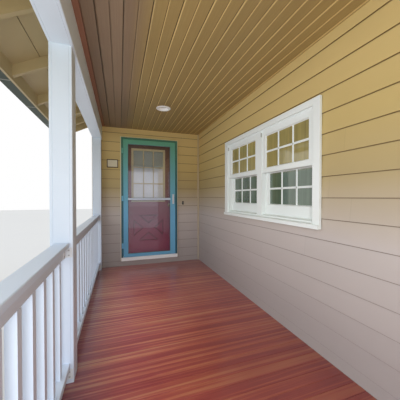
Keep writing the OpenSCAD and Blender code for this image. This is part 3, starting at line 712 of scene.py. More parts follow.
@dataclass(frozen=True)
class Pane(Recipe):
    """Glass that nearly hides the unlit inside behind it; its colours are partly painted reflection.

    Attributes:
        high: Colour seen in its upper part: what is behind it, with painted reflection.
        low: Colour seen in its lower part: what is behind it, with painted reflection.
        split: Heights between which the one turns to the other.
        body: How much of what is behind it the pane hides, face on.
        index: Index of refraction. A double pane mirrors as a single one of about 2 would.
        folds: How much the folds of a blind show in it.
    """

    high: Colour
    low: Colour
    split: tuple[float, float]
    body: float = 0.9
    index: float = 2.0
    folds: float = 0.0

    def sockets(self, tree: Tree) -> dict[str, Any]:
        """Works out the glass and what is seen in it, painted reflection too.

        Args:
            tree: The tree to add them to.

        Returns:
            A value for each socket that they set.
        """
        smear = tree.noise(scale=4.0, detail=3)
        folds = tree.noise((26.0, 26.0, 1.2)).sway(self.folds)
        waves = tree.noise((1.5, 1.5, 0.8), detail=1)
        # Colour of what is behind, with painted reflection, from the lower part to the upper.
        room_and_reflection = tree.mix(self.low, self.high, tree.walk_axes()[2].span(*self.split))
        return {
            "Base Color": tree.toned(room_and_reflection, 1 + smear.sway(0.4) + folds),
            "Roughness": 0.04 + smear.sway(0.04),
            "Alpha": self.body + tree.slant() * (1 - self.body),
            "IOR": self.index,
            "Normal": tree.bump(waves, depth=0.002, strength=0.3),
        }


@dataclass(frozen=True)
class ClearPane(Recipe):
    """Clear glass as a thin mirror film that lets the rest of the light through.

    Attributes:
        colour: Colour of its mirror image.
        film: How much it mirrors face on. At a slant it mirrors more.
    """

    colour: Colour
    film: float

    def sockets(self, tree: Tree) -> dict[str, Any]:
        """Works out the film.

        Args:
            tree: The tree to add it to.

        Returns:
            A value for each socket that it sets.
        """
        smear = tree.noise(scale=5.0, detail=3)
        waves = tree.noise((1.2, 1.2, 0.7), detail=1)
        return {
            "Base Color": tree.toned(self.colour, 1 + smear.sway(0.2)),
            "Metallic": 1.0,
            "Roughness": 0.025 + smear.sway(0.03),
            "Alpha": self.film + tree.slant() * (1 - self.film),
            "Normal": tree.bump(waves, depth=0.002, strength=0.25),
        }


@dataclass(frozen=True)
class Frosted(Recipe):
    """Frosted glass or hard plastic, unlit.

    Attributes:
        colour: Its colour.
    """

    colour: Colour

    def sockets(self, tree: Tree) -> dict[str, Any]:
        """Works out the frost.

        Args:
            tree: The tree to add it to.

        Returns:
            A value for each socket that it sets.
        """
        frost = tree.noise(scale=220.0)
        return {
            "Base Color": tree.toned(self.colour, 1 + frost.sway(0.1)),
            "Roughness": 0.4 + frost.sway(0.2),
            "Normal": tree.bump(frost, depth=0.0003, strength=0.4),
        }


@dataclass(frozen=True)
class Backdrop(Recipe):
    """The studio's plain floor.

    Attributes:
        first: Its colour.
        second: A colour close to it, which it drifts to.
        patch: Patches of the two in a metre.
        rough: Roughness.
    """

    first: Colour = shade(226, 226, 224)
    second: Colour = shade(222, 222, 222)
    patch: float = 0.4
    rough: float = 0.9

    def sockets(self, tree: Tree) -> dict[str, Any]:
        """Drifts between the two colours."""
        colour = tree.mix(self.first, self.second, tree.noise(self.patch))
        return {"Base Color": colour, "Roughness": self.rough}


# The white turns bluer towards the floor, where the sky's light falls: painted light.
WHITE = shade(213, 225, 233)
WHITE_FOOT_PAINTED_SKYLIGHT = shade(213, 226, 244)


@unique
class Finish(Enum):
    """Every finish on the porch, by its recipe. Its name in lower case is its material's."""

    CONCRETE = Mineral(
        shade(120, 118, 112), shade(176, 173, 164), grain=260.0, patch=3.0, depth=0.0008
    )
    DECK_TIMBER = StainedBoards(
        ((0.1, shade(104, 82, 56)), (0.9, shade(168, 140, 102))), Axis.Y, rough=0.77
    )
    WHITE_PAINT = BoardPaint(WHITE, foot=WHITE_FOOT_PAINTED_SKYLIGHT)
    WHITE_UPRIGHT = BoardPaint(WHITE, Axis.Z, foot=WHITE_FOOT_PAINTED_SKYLIGHT)
    WHITE_ACROSS = BoardPaint(WHITE, Axis.X, foot=WHITE_FOOT_PAINTED_SKYLIGHT)
    # A lighter, bluer copy of the white for the front beam, whose shaded faces it lifts: painted light.
    BEAM_WHITE_PAINTED_LIGHT = BoardPaint(shade(227, 240, 250))
    # A bluer copy of the white for the rail caps, for the sky's light on their tops: painted light.
    CAP_WHITE_PAINTED_SKYLIGHT = BoardPaint(shade(214, 230, 250))
    FLOOR_BOARDS = StainedBoards(
        (
            (0.0, shade(166, 72, 82)),
            (0.35, shade(210, 112, 116)),
            (0.6, shade(238, 152, 130)),
            (1.0, shade(255, 208, 164)),
        ),
        Axis.X,
        rough=0.38,
        coat=1.0,
        boards=0.2,
        streaks=(0.38, 40.0),
        haze=0.25,
        # Painted light along the floor: lightest about a metre from the door wall, darker at the door
        # and towards the near end.
        painted_light_along=(
            (0.2, (0.68, 0.52, 0.52)),
            (1.1, (1.0, 1.0, 1.0)),
            (2.06, (0.82, 0.75, 0.76)),
            (2.8, (0.60, 0.46, 0.45)),
        ),
        # Painted light across the floor: a painted shadow by the rail, a pale bluish painted sheen on
        # the open side, darker towards the house wall.
        painted_light=(
            (0.0, (0.66, 0.86, 1.0)),
            (0.1, (0.84, 1.0, 1.0)),
            (0.34, (0.94, 0.92, 0.96)),
            (0.6, (0.90, 0.80, 0.74)),
            (1.1, (0.62, 0.40, 0.33)),
            (1.73, (0.60, 0.38, 0.31)),
        ),
    )
    WHITE_METAL = Metal(shade(214, 219, 224), rough=0.37)
    LIGHT_METAL = Metal(shade(255, 255, 252), rough=0.37)
    CEILING_BOARDS = StainedBoards(
        ((0.0, shade(146, 121, 84)), (0.5, shade(166, 138, 96)), (1.0, shade(181, 154, 110))),
        Axis.Y,
        rough=0.52,
        boards=0.25,
        grooves=GROOVES,
        # Painted shade across the ceiling: the board by the beam purplish, then a greyish blue band,
        # turning yellow towards the house wall.
        painted_light=(
            (0.0, (0.84, 0.58, 0.76)),
            (0.0574, (0.84, 0.58, 0.76)),
            (0.0578, (0.68, 0.70, 0.96)),
            (0.36, (0.68, 0.70, 0.94)),
            (0.52, (0.94, 1.0, 0.82)),
        ),
    )
    EAVE_PAINT = BoardPaint(shade(186, 166, 121), Axis.X, rough=0.5, grime=0.0)
    SHINGLES = Mineral(
        shade(52, 51, 50), shade(112, 108, 102), grain=420.0, patch=1.4, depth=0.0012, tabs=0.35
    )
    GUTTER_METAL = Metal(shade(60, 70, 57), rough=0.62, grain=Axis.Y)
    STRAP_METAL = Metal(shade(160, 160, 148), rough=0.42, grain=Axis.X)
    SIDING = LapPaint()
    CORNER_TRIM = BoardPaint(
        shade(196, 178, 136), Axis.Z, rough=0.45, foot=shade(188, 176, 160)
    )
    WINDOW_PAINT = BoardPaint(shade(236, 243, 241), Axis.Z, rough=0.36, grime=0.0)
    # Window glass: yellowish above, where curtains hang behind it, and green below, a painted
    # reflection of foliage over the dark inside.
    WINDOW_GLASS = Pane(shade(168, 156, 98), shade(88, 108, 88), split=(1.44, 1.53), folds=0.9)
    CREAM_PAINT = BoardPaint(
        shade(224, 210, 164), Axis.Z, rough=0.4, grime=0.05, foot=shade(210, 204, 188)
    )
    # Both teals turn bluer towards the floor, which is painted light; the frame's teal is a darker copy
    # of the storm door's, painted shade.
    FRAME_TEAL = Metal(shade(74, 130, 108), rough=0.34, grain=Axis.Z, foot=shade(40, 96, 116))
    STORM_TEAL = Metal(shade(104, 172, 142), rough=0.32, grain=Axis.Z, foot=shade(110, 178, 218))
    BAR_PAINT = Metal(shade(212, 222, 240), rough=0.37, grain=Axis.X)
    THRESHOLD_METAL = Metal(shade(250, 252, 255), rough=0.36, grain=Axis.X)
    STORM_GLASS = ClearPane(shade(238, 240, 252), film=0.03)
    # Entry door glass: painted reflection, grey green above and nearly white below.
    LITE_GLASS = Pane(shade(158, 174, 170), shade(246, 250, 255), split=(1.70, 1.80), index=1.8)
    HANDLE_METAL = Metal(shade(214, 218, 222), rough=0.30)
    HINGE_METAL = Metal(shade(176, 178, 178), rough=0.38, metallic=1.0)
    # Burgundy: brownish high up, a painted reflection of the porch in the storm glass, bright below;
    # its hollows get painted shade.
    BURGUNDY_PAINT = BoardPaint(
        shade(114, 78, 70),
        Axis.Z,
        rough=0.34,
        grime=0.0,
        foot=shade(160, 28, 86),
        faces=(0.121, 0.165),
    )
    KNOB_BRASS = Metal(shade(206, 184, 132), rough=0.28, metallic=0.9)
    GASKET = Metal(shade(112, 130, 142), rough=0.52)
    BELL_BLACK = Metal(shade(34, 33, 34), rough=0.32)
    BELL_BUTTON = Frosted(shade(214, 210, 200))
    PLAQUE_PANEL = BoardPaint(shade(214, 206, 178), Axis.X, rough=0.5, grime=0.0)
    PLAQUE_FRAME = StainedBoards(
        ((0.1, shade(58, 42, 30)), (0.9, shade(96, 72, 50))), Axis.X, rough=0.47, coat=0.2
    )

    @cache
    def material(self) -> bpy.types.Material:
        """The finish's one material, made when it is first asked for."""
        return self.value.make(self.name.lower())


@dataclass
class Shape:
    """Points and faces of closed surfaces, before they become a mesh.

    Attributes:
        points: One row of x, y, z for each point, in walk coordinates.
        faces: Blocks of faces, each an array with a row of point numbers for each face.
        tint: A random number for each point, the same all over one board.
        plain: The tint where none is stated.
    """

    points: np.ndarray
    faces: list[np.ndarray]
    tint: np.ndarray = field(default_factory=lambda: np.zeros(0))
    plain: ClassVar[float] = 0.5

    def __post_init__(self) -> None:
        """Gives every point the plain tint where none is stated."""
        if len(self.tint) == 0:
            self.tint = np.full(len(self.points), self.plain)

    def __add__(self, other: "Shape") -> "Shape":
        """Joins two shapes: the second one's point numbers move up past the first one's.

        Args:
            other: The shape that is added.

        Returns:
            Both as one shape.
        """
        shift = len(self.points)
        return Shape(
            np.vstack([self.points, other.points]),
            self.faces + [block + shift for block in other.faces],
            np.concatenate([self.tint, other.tint]),
        )

    def copies(self, offsets: Rows, tints: np.ndarray | None = None) -> "Shape":
        """Repeats the shape at many offsets.

        Args:
            offsets: One row of x, y, z for each copy.
            tints: One number for each copy, or None for the plain one.

        Returns:
            All the copies as one shape: every point plus every offset, as one array.
        """
        moves = np.asarray(offsets, float).reshape(-1, 3)
        count, each = len(moves), len(self.points)
        shades = np.full(count, self.plain) if tints is None else tints
        shift = (np.arange(count) * each)[:, None, None]
        faces = [(block[None] + shift).reshape(-1, block.shape[1]) for block in self.faces]
        points = (self.points[None] + moves[:, None]).reshape(-1, 3)
        return Shape(points, faces, np.repeat(shades, each))


def total(shapes: Sequence[Shape]) -> Shape:
    """Joins several shapes into one.

    Args:
        shapes: The shapes, one or more.

    Returns:
        Their sum, in their order.
    """
    return sum(shapes[1:], shapes[0])


def at_places(places: np.ndarray, height: float = 0.0) -> np.ndarray:
    """Works out offsets for copies along the walk.

    Args:
        places: Their places y.
        height: Their height.

    Returns:
        One row of 0, the place and the height for each.
    """
    return np.stack([places * 0, places, places * 0 + height], 1)


def set_out(axis: Axis, along: np.ndarray, u: np.ndarray, v: np.ndarray) -> np.ndarray:
    """Puts a place along an axis and two places across it in the order of x, y and z.

    Args:
        axis: The axis.
        along: Places along it.
        u: Places along the first of the other two axes.
        v: Places along the second of them.

    Returns:
        The points, with x, y and z as the last dimension.
    """
    columns = {Axis.X: (along, u, v), Axis.Y: (u, along, v), Axis.Z: (u, v, along)}[axis]
    return np.stack(columns, -1)


def prism(outline: Rows, axis: Axis, start: float, end: float) -> Shape:
    """Carries a closed outline straight along an axis.

    Every outline point (u, v) gives two points, at start and at end; each side of the outline gives
    one face between them, and the outline itself closes both ends.

    Args:
        outline: Rows of u, v: y, z for axis X; x, z for axis Y; x, y for axis Z.
        axis: The axis to run along.
        start: Where the shape begins.
        end: Where it ends.

    Returns:
        The closed shape.
    """
    edge = np.asarray(outline, float)
    count = len(edge)
    along = np.repeat([start, end], count)
    points = set_out(axis, along, np.tile(edge[:, 0], 2), np.tile(edge[:, 1], 2))
    here = np.arange(count)
    following = np.roll(here, -1)
    sides = np.stack([here, following, following + count, here + count], 1)
    return Shape(points, [sides, np.stack([here[::-1], here + count])])


def oblong(low: Sequence[float], high: Sequence[float], ease: float) -> np.ndarray:
    """Outline of an oblong with its own corners cut back.

    Each corner gives two points, that far from it along its two sides.

    Args:
        low: Its lowest corner.
        high: Its highest corner.
        ease: How far each corner is cut back.

    Returns:
        Eight corners as rows of u, v.
    """
    (u0, v0), (u1, v1), e = low, high, ease
    return np.array(
        [
            [u0 + e, v0], [u1 - e, v0], [u1, v0 + e], [u1, v1 - e],
            [u1 - e, v1], [u0 + e, v1], [u0, v1 - e], [u0, v0 + e],
        ]
    )


def bar(low: Sequence[float], high: Sequence[float], axis: Axis, ease: float = MM) -> Shape:
    """Makes a straight bar with eased edges along its length.

    An oblong with its corners cut back is carried straight along the axis.

    Args:
        low: Its lowest corner.
        high: Its highest corner.
        axis: The axis that it runs along.
        ease: How far its edges are cut back.

    Returns:
        The closed bar.
    """
    outline = oblong([low[i] for i in axis.others()], [high[i] for i in axis.others()], ease)
    return prism(outline, axis, low[axis.value], high[axis.value])


def grid_faces(rows: int, columns: int, close_rows: bool = False) -> np.ndarray:
    """Faces between neighbours of a grid of points, numbered row by row.

    Each face joins a point and the next one in its row to the same two of the next row.

    Args:
        rows: Number of rows.
        columns: Number of columns. The last one joins the first.
        close_rows: True joins the last row to the first too.

    Returns:
        One row of four point numbers for each face.
    """
    r = np.arange(rows if close_rows else rows - 1)[:, None]
    c = np.arange(columns)[None]
    r2, c2 = (r + 1) % rows, (c + 1) % columns
    corners = [r * columns + c, r * columns + c2, r2 * columns + c2, r2 * columns + c]
    return np.stack(corners, -1).reshape(-1, 4)


def mitres(corners: np.ndarray) -> np.ndarray:
    """How far each corner of an outline moves where all its sides move out by 1.

    The sum of the two sides' outward unit steps, over 1 plus their product.

    Args:
        corners: Rows of u, v, counterclockwise.

    Returns:
        One step for each corner.
    """
    side = np.roll(corners, -1, 0) - corners
    side /= np.linalg.norm(side, axis=1, keepdims=True)
    out = np.stack([side[:, 1], -side[:, 0]], 1)
    last = np.roll(out, 1, 0)
    return (out + last) / (1 + (out * last).sum(1, keepdims=True))


def ring(profile: Rows, axis: Axis, corners: np.ndarray) -> Shape:
    """Carries a closed profile round an outline, with mitred corners.

    The profile's point (w, h) lies w outwards from the outline and at h along the axis.

    Args:
        profile: Rows of w, h.
        axis: The axis that looks through the outline.
        corners: The outline's corners, counterclockwise as rows of u, v.

    Returns:
        The closed ring.
    """
    edge = np.asarray(profile, float)
    count = len(corners), len(edge)
    across = corners[:, None] + mitres(corners)[:, None] * edge[None, :, :1]
    along = np.broadcast_to(edge[None, :, 1], count)
    points = set_out(axis, along, across[..., 0], across[..., 1]).reshape(-1, 3)
    return Shape(points, [grid_faces(*count, True)])


def frame_round(
    profile: Rows, axis: Axis, low: Sequence[float], high: Sequence[float]
) -> Shape:
    """Carries a closed profile round an oblong opening: a ring round its four corners.

    Args:
        profile: Rows of w, h, as for ring.
        axis: The axis that looks through the opening.
        low: The opening's lowest corner, as its two places across the axis.
        high: The opening's highest corner.

    Returns:
        The closed ring.
    """
    corners = [[low[0], low[1]], [high[0], low[1]], [high[0], high[1]], [low[0], high[1]]]
    return ring(profile, axis, np.array(corners))


def turned(
    profile: Rows, axis: Axis, centre: Sequence[float], count: int, stretch: float = 1.0
) -> Shape:
    """Turns a profile round an axis.

    The profile's point (r, h) becomes a ring: the centre plus r times the cosine and r times the
    sine of the angle across the axis, and h along it. The second direction may be stretched.

    Args:
        profile: Rows of r, h, from pole to pole.
        axis: The axis to turn round.
        centre: The centre of h = 0.
        count: Number of points in a ring.
        stretch: Factor on the second direction across the axis, for an oval.

    Returns:
        The shape, closed where r is 0 once doubled points are merged.
    """
    edge = np.asarray(profile, float)
    angle = np.linspace(0, 2 * np.pi, count, endpoint=False)
    u = edge[:, :1] * np.cos(angle)
    v = edge[:, :1] * np.sin(angle) * stretch
    h = np.broadcast_to(edge[:, 1:], u.shape)
    points = set_out(axis, h, u, v).reshape(-1, 3) + np.asarray(centre, float)
    return Shape(points, [grid_faces(len(edge), count)])


def dome(radius: float, height: float, steps: int = 5, rim: float = 0.25) -> np.ndarray:
    """Profile of a screw's low dome: a flat back, then a quarter turn from the rim to the crown.

    Args:
        radius: Radius of its rim.
        height: Height of its crown. A negative one turns it over.
        steps: Number of points on the quarter turn.
        rim: Height of the rim, as a share of the crown's.

    Returns:
        Rows of r, h.
    """
    a = np.linspace(0, np.pi / 2, steps)
    crown = np.stack([radius * np.cos(a), height * (rim + (1 - rim) * np.sin(a))], 1)
    return np.vstack([[[0, 0], [radius, 0]], crown])


@dataclass
class Maker:
    """Turns shapes into pieces that ride on one body.

    Attributes:
        body: The body's name.
        crease: Angle past which an edge stays sharp on a rounded piece.
        merge: Distance under which two points become one.
    """

    body: str
    crease: ClassVar[float] = math.radians(38)
    merge: ClassVar[float] = 1e-6

    def piece(
        self,
        name: str,
        shape: Shape,
        finish: Finish,
        stands_for: Sequence[str] = (),
        round_off: bool = False,
        hole: Shape | None = None,
    ) -> None:
        """Makes a piece at the frame's zero point.

        Args:
            name: The piece's name.
            shape: Its shape, in walk coordinates.
            finish: Its finish.
            stands_for: The CAD nodes that it is shown in place of.
            round_off: True shades its curved faces smoothly.
            hole: A shape that is cut out of it, or None.
        """
        placed = self.mesh_object(name, shape)
        if hole is not None:
            self.cut(placed, hole)
        if round_off:
            placed.data.shade_smooth()
            placed.data.set_sharp_from_angle(angle=self.crease)
        placed.data.materials.append(finish.material())
        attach(placed, self.body)
        if stands_for:
            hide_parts(*stands_for)
        LOG.info("%s: %d faces on %s", name, len(placed.data.polygons), self.body)

    def mesh_object(self, name: str, shape: Shape) -> bpy.types.Object:
        """Makes a mesh with merged doubles and outward faces, and its object in the scene.

        Args:
            name: The object's name.
            shape: Its shape.

        Returns:
            The object.
        """
        mesh = bpy.data.meshes.new(name)
        faces = [row for block in shape.faces for row in block.tolist()]
        mesh.from_pydata(WALK.at(shape.points).tolist(), [], faces)
        values = mesh.attributes.new("tint", "FLOAT", "POINT")
        values.data.foreach_set("value", shape.tint.astype(np.float32))
        work = bmesh.new()
        work.from_mesh(mesh)
        bmesh.ops.remove_doubles(work, verts=work.verts, dist=self.merge)
        bmesh.ops.recalc_face_normals(work, faces=work.faces)
        work.to_mesh(mesh)
        work.free()
        made = bpy.data.objects.new(name, mesh)
        bpy.context.scene.collection.objects.link(made)
        return made

    def cut(self, target: bpy.types.Object, hole: Shape) -> None:
        """Cuts a shape out of a piece and keeps the result as the piece's mesh.

        Args:
            target: The piece.
            hole: The shape.
        """
        cutter = self.mesh_object("cutter", hole)
        cut = target.modifiers.new("cut", "BOOLEAN")
        cut.operation, cut.object, cut.solver = "DIFFERENCE", cutter, "EXACT"
        seen = target.evaluated_get(bpy.context.evaluated_depsgraph_get())
        mesh = bpy.data.meshes.new_from_object(seen)
        target.modifiers.clear()
        target.data = mesh
        bpy.data.objects.remove(cutter)


class Part:
    """A sub-assembly: the pieces that it builds, and the CAD nodes that it finishes as they are.

    Attributes:
        body: The body that it rides on.
        coats: The nodes that each finish goes on.
    """

    body: ClassVar[str] = "root"
    coats: ClassVar[dict[Finish, tuple[str, ...]]] = {}

    def build(self, make: Maker) -> None:
        """Makes its pieces."""
        raise NotImplementedError

    def dress(self) -> None:
        """Gives the nodes their finishes, in place of their plain colours."""
        for finish, nodes in self.coats.items():
            for node in nodes:
                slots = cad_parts[node].data.materials
                slots.clear()
                slots.append(finish.material())
            LOG.info("%s: %s", finish.name.lower(), ", ".join(nodes))


@dataclass
class Deck(Part):
    """Floor boards, joists, skirts and what they stand on.

    Attributes:
        pitch: Width of a floor board.
        ease: How much the boards' top edges are eased.
        gap: Gap between two boards.
        seed: Seed of the boards' random tints.
    """

    coats = {
        Finish.CONCRETE: ("house_foundation", "end_foundation", "porch_piers"),
        Finish.DECK_TIMBER: ("deck_joists",),
        Finish.WHITE_PAINT: ("side_skirt",),
        Finish.WHITE_ACROSS: ("end_skirt",),
    }
    pitch: float = 0.080
    ease: float = 0.0016
    gap: float = 0.0012
    seed: int = 11

    def build(self, make: Maker) -> None:
        """Lays the boards across the walk, from the near end to the door wall.

        One section with eased top edges is carried across the walk, then copied at even steps.

        Args:
            make: Maker of the pieces.
        """
        low, high = WALK.box("porch_floor")
        count = round((high[1] - low[1]) / self.pitch)
        step = (high[1] - low[1]) / count
        e, g, t = self.ease, self.gap, high[2] - low[2]
        section = [[g, -t], [step, -t], [step, -e], [step - e, 0], [g + e, 0], [g, -e]]
        board = prism(section, Axis.X, low[0], high[0])
        places = low[1] + step * np.arange(count)
        tints = np.random.default_rng(self.seed).random(count)
        boards = board.copies(at_places(places, high[2]), tints)
        make.piece("floor_boards", boards, Finish.FLOOR_BOARDS, ["porch_floor"])


@dataclass
class Frontage(Part):
    """Boxed posts and beams.

    Attributes:
        lap: Thickness of the boards whose edges show beside each joint line.
        groove: Width of a joint line.
        steep: Depth of a joint line over its width.
        ease: How much the outer edges are eased.
        count: Number of posts.
        beams: The beams' pieces, their nodes, the axes that they run along and their finishes.
    """

    lap: float = 0.016
    groove: float = 0.0022
    steep: float = 0.8
    ease: float = 0.003
    count: int = 3
    beams: tuple[tuple[str, str, Axis, Finish], ...] = (
        ("boxed_front_beam", "front_beam", Axis.Y, Finish.BEAM_WHITE_PAINTED_LIGHT),
        ("boxed_end_beam", "end_beam", Axis.X, Finish.WHITE_ACROSS),
    )

    def boxed(self, low: Sequence[float], high: Sequence[float], both: bool) -> np.ndarray:
        """Outline of a boxed member, with a joint groove near each end of its lower edge.

        A groove is a V: a point on the edge, one its depth inside, and one on the edge again.

        Args:
            low: Its lowest corner, as two places across it.
            high: Its highest corner.
            both: True puts the grooves on the upper edge too.

        Returns:
            The closed outline, as rows of u, v.
        """
        (u0, v0), (u1, v1) = low, high
        e, dips = self.ease, np.array([0, self.groove * self.steep, 0])
        steps = self.lap + self.groove * np.arange(3) / 2
        left, right = u0 + steps, u1 - steps
        lower = [[u0, v0 + e], [u0 + e, v0], *zip(left, v0 + dips), *zip(right[::-1], v0 + dips)]
        upper = [*zip(right, v1 - dips), *zip(left[::-1], v1 - dips)] if both else []
        ends = [[u1 - e, v0], [u1, v0 + e], [u1, v1 - e], [u1 - e, v1]]
        return np.array([*lower, *ends, *upper, [u0 + e, v1], [u0, v1 - e]])

    def build(self, make: Maker) -> None:
        """Makes the posts, then the beam over them and the beam over the open end.

        Each is its outline carried straight along it. The posts are copies at even steps.

        Args:
            make: Maker of the pieces.
        """
        low, high = WALK.box("posts")
        side = -low[0]
        post = prism(self.boxed((-side, -side), (0.0, 0.0), True), Axis.Z, low[2], high[2])
        step = (high[1] - low[1] - side) / (self.count - 1)
        posts = post.copies(at_places(-step * np.arange(self.count)))
        make.piece("boxed_posts", posts, Finish.WHITE_UPRIGHT, ["posts"])
        for name, node, axis, finish in self.beams:
            low, high = WALK.box(node)
            outline = self.boxed(low[axis.others()], high[axis.others()], False)
            beam = prism(outline, axis, low[axis.value], high[axis.value])
            make.piece(name, beam, finish, [node])


@dataclass
class Railing(Part):
    """The railing's finishes, and the screws of its angle brackets.

    Attributes:
        head: Radius of a screw's head.
        proud: How far a head stands out.
        plate: Thickness of a bracket.
        reach: Distance from the rail's face to the screws on a post.
        inset: Distance from a post to the screws on a rail.
        tall: Height of a bracket.
        shares: Heights of a leg's two screws, as shares of the bracket's.
        sides: Number of points round a screw.
    """

    coats = {
        Finish.CAP_WHITE_PAINTED_SKYLIGHT: ("rail_caps",),
        Finish.WHITE_PAINT: ("top_rails", "bottom_plates", "bottom_rails"),
        Finish.WHITE_UPRIGHT: ("balusters_far", "balusters_near"),
        Finish.WHITE_METAL: ("rail_brackets",),
    }
    head: float = 0.0048
    proud: float = 0.0026
    plate: float = 0.003
    reach: float = 0.022
    inset: float = 0.036
    tall: float = 0.064
    shares: tuple[float, float] = (0.22, 0.72)
    sides: int = 12

    def screw(self, axis: Axis, proud: float) -> Shape:
        """A screw's domed head that stands out along an axis, or against it."""
        return turned(dome(self.head, proud), axis, (0, 0, 0), self.sides)

    def build(self, make: Maker) -> None:
        """Sets two screws on each leg of each bracket.

        A domed head is made for each of the three ways that the legs face, and copied to every
        place along the bay where such a leg sits.

        Args:
            make: Maker of the piece.
        """
        low, high = WALK.box("rail_brackets")
        post = -WALK.box("posts")[0][0]
        bay = (high[1] - low[1] + post) / 2
        feet = (high[2] - self.tall, low[2])
        heights = [foot + self.tall * share for foot in feet for share in self.shares]
        near, far = self.screw(Axis.Y, self.proud), self.screw(Axis.Y, -self.proud)
        side = self.screw(Axis.X, self.proud)
        shapes = []
        for far_y in (high[1], high[1] - bay):
            near_y = far_y - bay + post
            x = low[0] + self.reach
            shapes.append(near.copies([[x, near_y + self.plate, z] for z in heights]))
            shapes.append(far.copies([[x, far_y - self.plate, z] for z in heights]))
            x, places = low[0] + self.plate, (near_y + self.inset, far_y - self.inset)
            shapes.append(side.copies([[x, y, z] for y in places for z in heights]))
        screws = total(shapes)
        make.piece("bracket_screws", screws, Finish.HINGE_METAL, round_off=True)


@dataclass
class Ceiling(Part):
    """Ceiling boards and the recessed light.

    Attributes:
        grooves: The grooves between the boards.
        steep: Depth of a groove over its half width.
        seed: Seed of the boards' random tints.
        short: How far from the beam the last groove may lie.
        edge: How much the outermost boards' outer edges are eased.
        can: Radius of the hole for the light.
        through: How far the hole's cutter reaches to either side.
        lens: Profile of the light's lens, as radii and heights.
        recess: How far the lens lies over the ceiling's face.
        sides: Number of points round the hole and the lens.
    """

    coats = {Finish.LIGHT_METAL: ("ceiling_light",)}
    grooves: Grooves = GROOVES
    steep: float = 0.8
    seed: int = 5
    short: float = 0.012
    edge: float = 0.001
    can: float = 0.079
    through: float = 0.05
    lens: tuple[tuple[float, float], ...] = (
        (0, 0.002), (0.0585, 0.002), (0.0585, -0.001), (0.03, -0.0035), (0, -0.0045),
    )
    recess: float = 0.030
    sides: int = 48

    def build(self, make: Maker) -> None:
        """Hangs the boards from the house wall to the beam, cut out for the light.

        Each board's section runs from the bottom of one groove to the bottom of the next, and is
        carried straight along the walk. The hole is an upright cylinder.

        Args:
            make: Maker of the pieces.
        """
        low, high = WALK.box("porch_ceiling")
        spacing = self.grooves
        places = np.arange(high[0] - spacing.first, low[0] + self.short, -spacing.pitch)
        edges = np.concatenate([high[:1], places, low[:1]])
        between = [spacing.halves[k % 2] for k in range(len(places))]
        halves = np.array([self.edge, *between, self.edge])
        deep = halves * self.steep
        top = high[2] - low[2]
        tints = np.random.default_rng(self.seed).random(len(edges))
        shapes = []
        for i, (right, left) in enumerate(zip(edges[:-1], edges[1:])):
            section = np.array(
                [
                    [left, deep[i + 1]], [left + halves[i + 1], 0], [right - halves[i], 0],
                    [right, deep[i]], [right, top], [left, top],
                ]
            )
            board = prism(section + [0, low[2]], Axis.Y, low[1], high[1])
            board.tint[:] = tints[(i + 1) // 2]
            shapes.append(board)
        corners = WALK.box("ceiling_light")
        x, y, _ = (corners[0] + corners[1]) / 2
        r, h = self.can, self.through
        hole = turned([[0, -h], [r, -h], [r, h], [0, h]], Axis.Z, (x, y, low[2]), self.sides)
        make.piece(
            "ceiling_boards",
            total(shapes),
            Finish.CEILING_BOARDS,
            ["porch_ceiling"],
            hole=hole,
        )
        glass = turned(self.lens, Axis.Z, (x, y, low[2] + self.recess), self.sides)
        make.piece("light_lens", glass, Finish.BELL_BUTTON, round_off=True)


